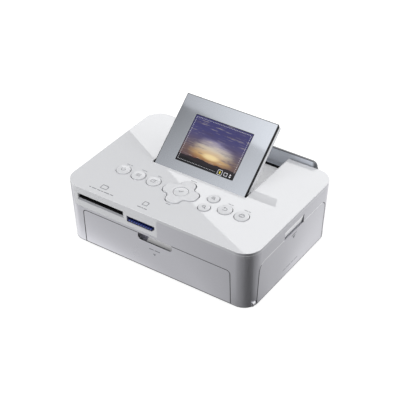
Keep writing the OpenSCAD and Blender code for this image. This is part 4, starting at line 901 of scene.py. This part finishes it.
class PRINTER_OT_keys(bpy.types.Operator):
    """Turns the round keys and makes the direction pad, with dark grey painted shade in the gap round the
    foot of each key
    """
    bl_idname = "printer.keys"
    bl_label = "Keys"

    def execute(self, context):
        edge = sizes().key_rim
        gap_painted_shade = moulded_plastic("key_gap_painted_shade", colour(44, 45, 48), 0.5, 0.002, 0.1)
        for name, x, y, r, top in KEYS:
            node = f"{name}_button"
            foot = (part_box(node)[0].z - MIDDLE.z) / MM
            # up the stem, round the flange that keeps the key under the cover, and up the cap's side
            if name == "confirm":
                profile = [(0, foot), (r + 0.9, foot), (r + 0.9, 52.8), (r + 0.8, 52.9), (r, 52.9)]
            else:
                profile = [(0, foot), (2, foot), (2, 51.8), (r + 1.1, 51.8), (r + 1.1, 52.7), (r + 1.0, 52.8),
                           (r, 52.8)]
            side_top = top - crown_drop(r - edge) - edge
            profile.append((r, side_top))
            profile += [(r - edge + edge * cos(a), side_top + edge * sin(a))
                        for a in (pi / 2 * i / 5 for i in range(1, 5))]
            profile += [(rho, top - crown_drop(rho)) for rho in (r - edge, r * 0.72, r * 0.45, r * 0.2, 0.0)]
            key = turned(f"{name}_key_cap", profile, x, y, f"{name}_key", "key_white", (node,))
            # painted shade: the faces below the gap's top are dark grey
            key.data.materials.append(gap_painted_shade)
            for face in key.data.polygons:
                if in_body(face.center).z < GAP_SHADE_TOP:
                    face.material_index = 1
        rim = 0.8
        rise = [(0.0, 51.9), (0.0, 55.1)] + [(rim * (1 - cos(a)), 55.1 + rim * sin(a))
                                            for a in (pi / 2 * i / 5 for i in range(1, 6))]
        hole = circle(*PAD, 6.25), round_over(51.9, 55.9, 0.3)
        plate("direction_pad_skin", [(pad_outline(-0.15), rise), hole], place, "pad", "key_white", None,
              ("direction_pad",))
        return {"FINISHED"}


class PRINTER_OT_symbols(bpy.types.Operator):
    """Lays the printed symbols on the keys, the cover and the doors"""
    bl_idname = "printer.symbols"
    bl_label = "Symbols"

    def execute(self, context):
        grey = moulded_plastic("symbol_grey", colours().symbols, 0.35, 0.001, 0.05, 0.04)
        pale = moulded_plastic("mark_grey", colour(150, 152, 158), 0.35, 0.001, 0.05, 0.04)

        def symbol(name, body, lift, lines, blots=(), ink=grey):
            lines = [(path if closed else spaced(path), width, closed) for path, width, closed in lines]
            drawing(name, body, "key_white", ink, lift, lines, blots)

        def dashes(v, width, *runs):
            return [([(u, v), (u + long, v)], width, False) for u, long in runs]

        signs = self.key_signs(sizes().symbol_line)
        for key, x, y, r, top in KEYS:
            symbol(f"{key}_symbol", f"{key}_key",
                   lambda u, v, w: place(x + u, y + v, top - crown_drop(min(6.0, sqrt(u * u + v * v))) + w),
                   signs[key])

        def on_cover(u, v, w):
            return place(u, v, COVER_TOP + w)

        wide_card = [(-57.9, -54.5), (-52.0, -54.5), (-52.0, -51.0), (-53.2, -50.1), (-57.9, -50.1)]
        small_card = [(-17.2, -54.2), (-12.9, -54.2), (-12.9, -50.6), (-13.9, -49.8), (-17.2, -49.8)]
        symbol("card_marks", "printer", on_cover, [
            (wide_card, 0.8, True), (small_card, 0.8, True),
            *dashes(-57.8, 0.85, (-66.0, 1.6), (-63.4, 4.4), (-58.2, 3.2), (-54.2, 1.8), (-51.6, 5.2),
                    (-45.6, 3.0), (-19.0, 3.4), (-15.0, 1.6), (-12.8, 2.8))])
        symbol("key_marks", "printer", on_cover, [
            *dashes(-16.2, 0.75, (-59.6, 3.0), (-55.8, 1.6), (-44.6, 4.8), (-29.0, 3.4), (38.2, 2.2),
                    (41.0, 1.8), (52.8, 3.2), (56.6, 2.0)),
            *dashes(-6.6, 0.75, (-3.6, 2.4), (-0.6, 2.6)), *dashes(-42.6, 0.75, (-2.8, 4.4))], ink=pale)
        symbol("flap_mark", "paper_flap", on_front,
               [([(start, 21.6), (stop, 21.6)], 0.8, False) for start, stop in ((-5.6, -1.4), (-0.4, 4.6))],
               [[(-2.2, 17.8), (-0.8, 15.8), (0.6, 17.8)]])
        symbol("ink_flap_marks", "ink_flap", on_side,
               [*dashes(7.2, 0.5, (-12.4, 4.2), (-7.2, 6.2), (0.2, 3.4), (4.6, 5.2)),
                *dashes(36.4, 0.7, (-3.4, 7.6))],
               [[(2.6, 35.0), (0.4, 31.8), (-1.8, 35.0)]])
        return {"FINISHED"}

    def key_signs(self, line):
        """The lines (path, width, closed) of each key's sign, round the key's middle."""
        def path(*points, width=line):
            return list(points), width, False

        glass = (circle(-0.3, 0.3, 1.3, 24), line, True)
        handle = path((0.65, -0.65), (1.8, -1.8), width=line * 1.3)
        bar = path((-0.9, 0.3), (0.3, 0.3), width=line * 0.8)
        post = path((-0.3, -0.3), (-0.3, 0.9), width=line * 0.8)
        return {
            "power": [path(*arc(0, 0, 1.7, 125, 415, 24)), path((0, 0.5), (0, 2.3))],
            "menu": [path((-2, v), (2, v)) for v in (-1.3, 0, 1.3)],
            "edit": [(soft_rect(-1.9, -1.9, 1.4, 1.4, 0.4, 3), line, True),
                     path((-0.3, -0.3), (2.1, 2.1), width=line * 1.3)],
            "back": [path(*arc(0.2, -0.1, 1.5, -90, 90, 12), (-1.6, 1.4)),
                     path((-0.8, 2.3), (-1.8, 1.4), (-0.8, 0.5)), path((0.2, -1.6), (-1.4, -1.6))],
            "print": [(soft_rect(-2.1, -1.0, 2.1, 0.9, 0.3, 3), line, True),
                      path((-1.3, 0.9), (-1.3, 2.0), (1.3, 2.0), (1.3, 0.9)),
                      path((-1.3, -1.0), (-1.3, -1.9), (1.3, -1.9), (1.3, -1.0))],
            "zoom_in": [glass, handle, bar, post],
            "zoom_out": [glass, handle, bar],
            "confirm": [path((-1.7, 0.1), (-0.5, -1.2), (1.8, 1.4), width=line * 1.2)],
        }


class PRINTER_OT_display(bpy.types.Operator):
    """Builds the tilting display's bezel, dark frame, white back and screen"""
    bl_idname = "printer.display"
    bl_label = "Display"

    def execute(self, context):
        rim = sizes().display_rim
        half = PANEL_W / 2
        x0, v0, x1, v1 = SCREEN
        window = soft_rect(x0 - 0.1, v0 - 0.1, x1 + 0.1, v1 + 0.1, 0.5, 5)
        bare = 0.45
        plate("bezel_plate", [(soft_rect(bare - half, 0, half - bare, PANEL_L - bare, 0.6, 6),
                               round_over(-0.6, 0, rim * 0.4, 0.1)),
                              (window, round_over(-0.6, 0, 0.15, 0.02))],
              place_on_panel, "display", "bezel_silver", None, ("display_bezel",))
        border = 0.26
        edge, top = half - border, PANEL_L - border
        drawing("bezel_border", "display", "frame_black", None,
                lambda u, v, w: place_on_panel(u, v, w - 0.32),
                [([(-edge, 0.5), (-edge, top), (edge, top), (edge, 0.5)], 0.46, False)], thick=0.28)
        self.backing(half, window)
        softened_copy("display_frame_ring", "display_frame", "display", "frame_black",
                      (lambda a, b: True, 0.15))
        softened_copy("display_back_shell", "display_back", "display", "back_white", (lambda a, b: True, rim))
        plate("screen_glass_pane", [(soft_rect(x0, v0, x1, v1, 0.5, 5), round_over(-1.6, -0.2, 0.1))],
              place_on_panel, "display", "screen_glass", screen_picture(), ("display_screen",))
        return {"FINISHED"}

    def backing(self, half, window, inset=0.05, barrel=9.0, clear=4.2):
        """The dark plate behind the bezel, cut clear of the hinge's barrels at its lower corners."""
        loop = soft_rect(-half + inset, inset, half - inset, PANEL_L - inset, 0.8, 6)
        loop = [(half - inset, clear), *[p for p in loop if p[1] > clear], (-half + inset, clear),
                (barrel - half, clear), (barrel - half, inset),
                (half - barrel, inset), (half - barrel, clear)]
        plate("bezel_backing", [(loop, round_over(-1.58, -0.62, 0.1)), (window, [(0, -1.58), (0, -0.62)])],
              place_on_panel, "display", "frame_black")


DOT_SCALE = 9000.0


def screen_picture():
    """Dusk over low hills, with the light low on the horizon and long streaks of cloud."""
    finish = Finish("screen_picture", Roughness=0.2, Specular_IOR_Level=0.3, Emission_Strength=1.0)
    spot = finish.spot()
    x, y, z = finish.axes(spot)
    x0, v0, x1, v1 = SCREEN
    hinge = place_on_panel(0, 0, 0)
    along = (y - hinge.y) * cos(TILT) + (z - hinge.z) * sin(TILT)
    u = (x - place(x0, 0, 0).x) / ((x1 - x0) * MM)
    v = (along - v0 * MM) / ((v1 - v0) * MM)
    flat = finish.node("ShaderNodeCombineXYZ", None, {0: u, 1: v})
    drift = finish.noise(finish.spread(flat, (1.6, 6.0, 1.0), (0, 0, 0.2)), 1.6, 6.0, 0.62)
    wisps = finish.noise(finish.spread(flat, (2.4, 16.0, 1.0), (0, 0, 0.28), (3.1, 0.7, 0)), 1.5, 5.0, 0.6)
    sky = finish.node("ShaderNodeValToRGB", {"stops": [
        (0.14, colour(120, 70, 44)), (0.26, colour(206, 166, 108)), (0.42, colour(206, 194, 176)),
        (0.58, colour(156, 150, 180)), (0.78, colour(74, 70, 132)), (1.0, colour(48, 44, 104))]},
        {0: v + (drift - 0.5) * 0.16 + (u - 0.5) * 0.1})
    far = (u - 0.52) * 1.15
    fade = (far * far + (v - 0.3) * (v - 0.3) * 1.6 + (drift - 0.5) * 0.2).between(0.0, 0.24)
    sky = finish.mixed(fade * 0.92, sky,
                       finish.mixed(v.between(0.2, 0.75), colour(92, 74, 78), colour(58, 56, 106)))
    sky = finish.mixed(drift.between(0.5, 0.7) * 0.55, sky, colour(70, 62, 92))
    sky = finish.mixed(wisps.between(0.54, 0.74) * 0.4, sky, colour(236, 222, 196))
    low_sun = (far * far * 1.2 + (v - 0.27) * (v - 0.27) * 9.0).between(0.0, 0.05, 1.0, 0.0)
    sky = finish.mixed(low_sun * 0.6, sky, colour(255, 238, 184))
    ridge = finish.noise(finish.spread(flat, (4.2, 0, 0)), 1.0, 5.0, 0.55) * 0.12 + 0.1
    bank = finish.noise(finish.spread(flat, (2.4, 0, 0), (0, 0, 0), (5.3, 0, 0)), 1.0, 6.0, 0.6) * 0.14 + 0.02
    land = finish.noise(finish.spread(flat, (7, 16, 1)), 1.0, 4.0)
    view = sky
    for skyline, dark, light in ((ridge, colour(14, 12, 20), colour(44, 34, 38)),
                                 (bank, colour(3, 3, 6), colour(16, 14, 18))):
        view = finish.mixed((skyline - v).between(-0.006, 0.006), view, finish.mixed(land, dark, light))
    inside = (u.between(0.004, 0.01) * u.between(0.996, 0.99)) * (v.between(0.006, 0.014)
                                                                  * v.between(0.994, 0.986))
    shown = finish.mixed(inside, colour(16, 16, 22), view)
    shown = finish.mixed(finish.cells(spot, DOT_SCALE) * 0.12, shown, colour(0, 0, 0))
    return finish.set(Base_Color=finish.mixed(0.95, shown, colour(6, 6, 9)), Emission_Color=shown)


def sign_finish(name, tone):
    """A lit sign on the screen, with the fine grid of its dots."""
    finish = Finish(name, Roughness=0.3, Emission_Strength=0.9)
    shown = finish.mixed(finish.cells(finish.spot(), DOT_SCALE) * 0.2, tone, shaded(tone, 0.3))
    return finish.set(Base_Color=finish.mixed(0.9, shown, colour(8, 8, 10)), Emission_Color=shown)


class PRINTER_OT_screen(bpy.types.Operator):
    """Lays the screen's small lit signs over the picture"""
    bl_idname = "printer.screen"
    bl_label = "Screen"

    def execute(self, context):
        x0, v0, x1, v1 = SCREEN
        rim, low = 1.6, v0 + 2.7
        dashes = []
        for start, stop in (((x0 + rim, v1 - 1.8), (x1 - rim, v1 - 1.8)),
                            ((x0 + rim, v0 + 1.8), (x1 - 17, v0 + 1.8)),
                            ((x0 + rim, v0 + 1.8), (x0 + rim, v1 - 1.8)),
                            ((x1 - rim, v0 + 6), (x1 - rim, v1 - 1.8))):
            run = Vector(stop) - Vector(start)
            count = int(run.length / 1.5)
            for i in range(count):
                dashes.append([tuple(Vector(start) + run * ((i + t) / count)) for t in (0.0, 0.55)])
        for name, lines, blots, tone in (
                ("frame_signs", [(line, 0.24, False) for line in dashes] +
                 [(soft_rect(x1 - 15.2, low - 2.0, x1 - 11.2, low + 2.0, 0.5, 3), 0.35, True),
                  (soft_rect(x1 - 9.2, low - 1.3, x1 - 6.4, low + 1.3, 0.2, 3), 0.35, True)],
                 [[(x1 - 4.6, low + 0.4), (x1 - 2.6, low + 0.4), (x1 - 3.6, low + 1.7)],
                  [(x1 - 4.6, low - 0.4), (x1 - 3.6, low - 1.7), (x1 - 2.6, low - 0.4)]],
                 colour(232, 232, 238)),
                ("mark_signs", [([(x1 - 13.2, low - 1.0), (x1 - 13.2, low + 1.0)], 1.0, False)], [],
                 colour(236, 214, 60))):
            drawing(name, "display", "screen_glass", sign_finish(name, tone),
                    lambda u, v, w: place_on_panel(u, v, w - 0.17), lines, blots, 0.015)
        return {"FINISHED"}


# ---- the stage ----

def flat_card(name, corners, material, only_in_gloss=True):
    """A flat card of the stage, which only glossy surfaces show unless it says otherwise."""
    mesh = bpy.data.meshes.new(name)
    mesh.from_pydata([Vector(c) for c in corners], [], [tuple(range(len(corners)))])
    card = bpy.data.objects.new(name, mesh)
    bpy.context.scene.collection.objects.link(card)
    card.data.materials.append(material)
    if only_in_gloss:
        card.visible_camera = card.visible_diffuse = card.visible_shadow = card.visible_transmission = False


def lit(name, strength):
    """A plain white light for a card of the stage."""
    return Finish(name, Base_Color=(0, 0, 0), Emission_Color=(1, 1, 1), Emission_Strength=strength).material


def soft_lamp(name, position, width, height, watts):
    lamp = bpy.data.lights.new(name, "AREA")
    lamp.shape, lamp.size, lamp.size_y, lamp.energy = "RECTANGLE", width, height, watts
    held = bpy.data.objects.new(name, lamp)
    held.location = position
    held.rotation_euler = (Vector((0, 0, 0.03)) - Vector(position)).to_track_quat("-Z", "Y").to_euler()
    held.visible_glossy = False
    bpy.context.scene.collection.objects.link(held)


def in_cover_gloss(x, y, wall_y):
    """Where the main view, mirrored in the cover at (x, y), meets an upright wall behind the printer."""
    spot = place(x, y, COVER_TOP)
    ray = spot - STAND
    ray.z = -ray.z
    return spot + ray * ((wall_y - spot.y) / ray.y)


class PRINTER_OT_stage(bpy.types.Operator):
    """Sets the pale floor, the backdrop, the soft boxes and lamps, and the camera"""
    bl_idname = "printer.stage"
    bl_label = "Stage"

    def execute(self, context):
        context.scene.view_settings.view_transform = "Standard"
        self.backdrop(context.scene)
        self.floor()
        self.soft_box()
        self.panel_card()
        soft_lamp("key_lamp", (0.35, 0.6, 2.15), 1.6, 1.6, 9)
        soft_lamp("front_fill", (-0.7, -2.0, 0.9), 1.6, 1.2, 23)
        soft_lamp("side_fill", (2.0, 0.6, 0.9), 1.4, 1.2, 14)
        self.camera(context.scene)
        return {"FINISHED"}

    def backdrop(self, scene):
        """A world that the camera, gloss and glass see as plain white, and that lights more softly."""
        scene.world = bpy.data.worlds.new("studio")
        scene.world.use_nodes = True
        sky = Nodes(scene.world.node_tree)
        soft, white = (sky.node("ShaderNodeBackground", None, {0: (1, 1, 1), 1: strength})
                       for strength in (0.5, 1.0))
        seen = sky.rays("Camera", "Glossy", "Transmission")
        sky.node("ShaderNodeOutputWorld", None, {
            0: sky.node("ShaderNodeMixShader", None, {0: seen, 1: soft, 2: white})})

    def floor(self):
        """The pale floor, whose far parts the body's silver shows as the studio's light and dark sides."""
        floor = Finish("pale_floor", Roughness=0.9, Emission_Strength=2.5)
        spot = floor.spot()
        x, y, z = floor.axes(spot)
        # the way round the body's front right corner, from 0 to 1
        turn = floor.node("ShaderNodeMath", {"operation": "ARCTAN2"}, {
            0: x - place(CORNER_X, 0, 0).x, 1: place(0, -CORNER_Y, 0).y - y}) / (2 * pi) + 0.5
        studio = floor.node("ShaderNodeValToRGB", {"stops": [(t, (level / 2.5,) * 3) for t, level in (
            (0.0, 1.0), (0.15, 0.25), (0.2, 0.2), (0.225, 0.3), (0.247, 0.7), (0.264, 1.25), (0.276, 0.84),
            (0.288, 0.7), (0.303, 0.67), (0.317, 0.7), (0.351, 0.61), (0.38, 0.57), (0.422, 0.54),
            (0.45, 0.42), (0.483, 0.34), (0.522, 0.27), (0.561, 0.2), (0.6, 0.11), (0.635, 0.06),
            (0.69, 0.06), (0.717, 0.15), (0.756, 0.28), (0.794, 0.43), (0.833, 0.51), (0.872, 0.56),
            (0.895, 0.62), (0.915, 0.66), (0.931, 0.65), (0.945, 0.73), (0.96, 0.96), (1.0, 1.0))]},
            {0: turn})
        seen = floor.rays("Camera", "Glossy", "Transmission")
        glow = floor.mixed(seen, (0.12, 0.12, 0.12), studio)
        glow = floor.mixed(floor.rays("Camera"), glow, (0.3, 0.3, 0.3))
        body = floor.mixed(floor.noise(spot, 300.0, 3.0), (0.42, 0.42, 0.42), (0.44, 0.44, 0.44))
        floor.set(Base_Color=floor.mixed(floor.rays("Glossy"), body, (0, 0, 0)), Emission_Color=glow)
        flat_card("floor", [(-4, -4, 0), (4, -4, 0), (4, 4, 0), (-4, 4, 0)], floor.material, False)

    def soft_box(self):
        """The soft box behind the printer, whose edge the cover's gloss shows as a line."""
        edge = [in_cover_gloss(x, y, WALL_Y) for x, y in (
            (-130, 47), (-87.6, 24.5), (-71.2, 15.5), (-47.8, 2.9), (-24.2, -6.7), (-11.8, -13.1),
            (18.2, -33.1), (38.4, -42.6), (57.2, -51.2), (76.3, -59.6), (100, -70))]
        right, low = edge[-1].x + 2.0, 0.2
        flat_card("soft_box", [*edge, (right, WALL_Y, edge[-1].z), (right, WALL_Y, low),
                               (edge[0].x, WALL_Y, low)], lit("soft_box_glow", 3.4))
        # a dimmer card before it, for the display's lacquer when the display lies flat
        flat_card("dim_card", [in_cover_gloss(x, y, WALL_Y - 0.02) for x, y in oblong(-45.5, -4.5, 45.5, 72)],
                  lit("dim_card_glow", 0.95))

    def panel_card(self):
        """The soft box that the display's lacquer shows, with its lower edge as a line across the bezel."""
        out = Vector((0, -sin(TILT), cos(TILT)))

        def mirrored(u, v):
            spot = place_on_panel(u, v, 0)
            ray = spot - STAND
            return spot + (ray - 2 * ray.dot(out) * out) * 0.55

        strength = 1.6
        card = Finish("panel_card", Base_Color=(0, 0, 0), Emission_Strength=strength)
        x, y, z = card.axes(card.spot())
        start, across, up = mirrored(0, 0), mirrored(10, 0), mirrored(0, 10)
        u, v = (x - start.x) / ((across.x - start.x) / 10), (z - start.z) / ((up.z - start.z) / 10)
        above = (v - (47.3 - u * 0.157)).between(-0.3, 0.3)
        low = 0.35 + (u + 43) * 0.006 + (50 - v) * 0.0056
        high = 0.8 + (u + 43) * 0.0076
        level = (low * (1 - above) + high * above) / strength
        card.set(Emission_Color=card.mixed(level, (0, 0, 0), (1, 1, 1)))
        flat_card("panel_card", [mirrored(u, v) for u, v in oblong(-90, -60, 90, 130)], card.material)

    def camera(self, scene):
        lens = bpy.data.cameras.new("main_view")
        lens.sensor_width, lens.lens = 36.0, 109.53
        held = bpy.data.objects.new("main_view", lens)
        scene.collection.objects.link(held)
        turn = (AIM - STAND).to_track_quat("-Z", "Y").to_matrix() @ Matrix.Rotation(radians(-0.15), 3, "Z")
        held.matrix_world = Matrix.Translation(STAND) @ turn.to_4x4()
        scene.camera = held


class PRINTER_PT_sidebar(bpy.types.Panel):
    """Lists the printer's sizes, colours and building steps"""
    bl_idname = "PRINTER_PT_sidebar"
    bl_label = "Compact photo printer"
    bl_space_type = "VIEW_3D"
    bl_region_type = "UI"
    bl_category = "Printer"

    def draw(self, context):
        for group in (sizes(), colours()):
            box = self.layout.box()
            for name in group.bl_rna.properties.keys():
                if name not in ("rna_type", "name"):
                    box.prop(group, name)
        for step in STEPS:
            self.layout.operator(step.bl_idname)


STEPS = (PRINTER_OT_finishes, PRINTER_OT_casing, PRINTER_OT_keys, PRINTER_OT_symbols, PRINTER_OT_display,
         PRINTER_OT_screen, PRINTER_OT_stage)
CLASSES = (PrinterSizes, PrinterColours, *STEPS, PRINTER_PT_sidebar)


def register():
    for kind in CLASSES:
        bpy.utils.register_class(kind)
    bpy.types.Scene.printer_sizes = PointerProperty(type=PrinterSizes)
    bpy.types.Scene.printer_colours = PointerProperty(type=PrinterColours)


def unregister():
    del bpy.types.Scene.printer_colours
    del bpy.types.Scene.printer_sizes
    for kind in reversed(CLASSES):
        bpy.utils.unregister_class(kind)


def main():
    register()
    for step in STEPS:
        section, name = step.bl_idname.split(".")
        getattr(getattr(bpy.ops, section), name)()


if __name__ == "__main__":
    main()
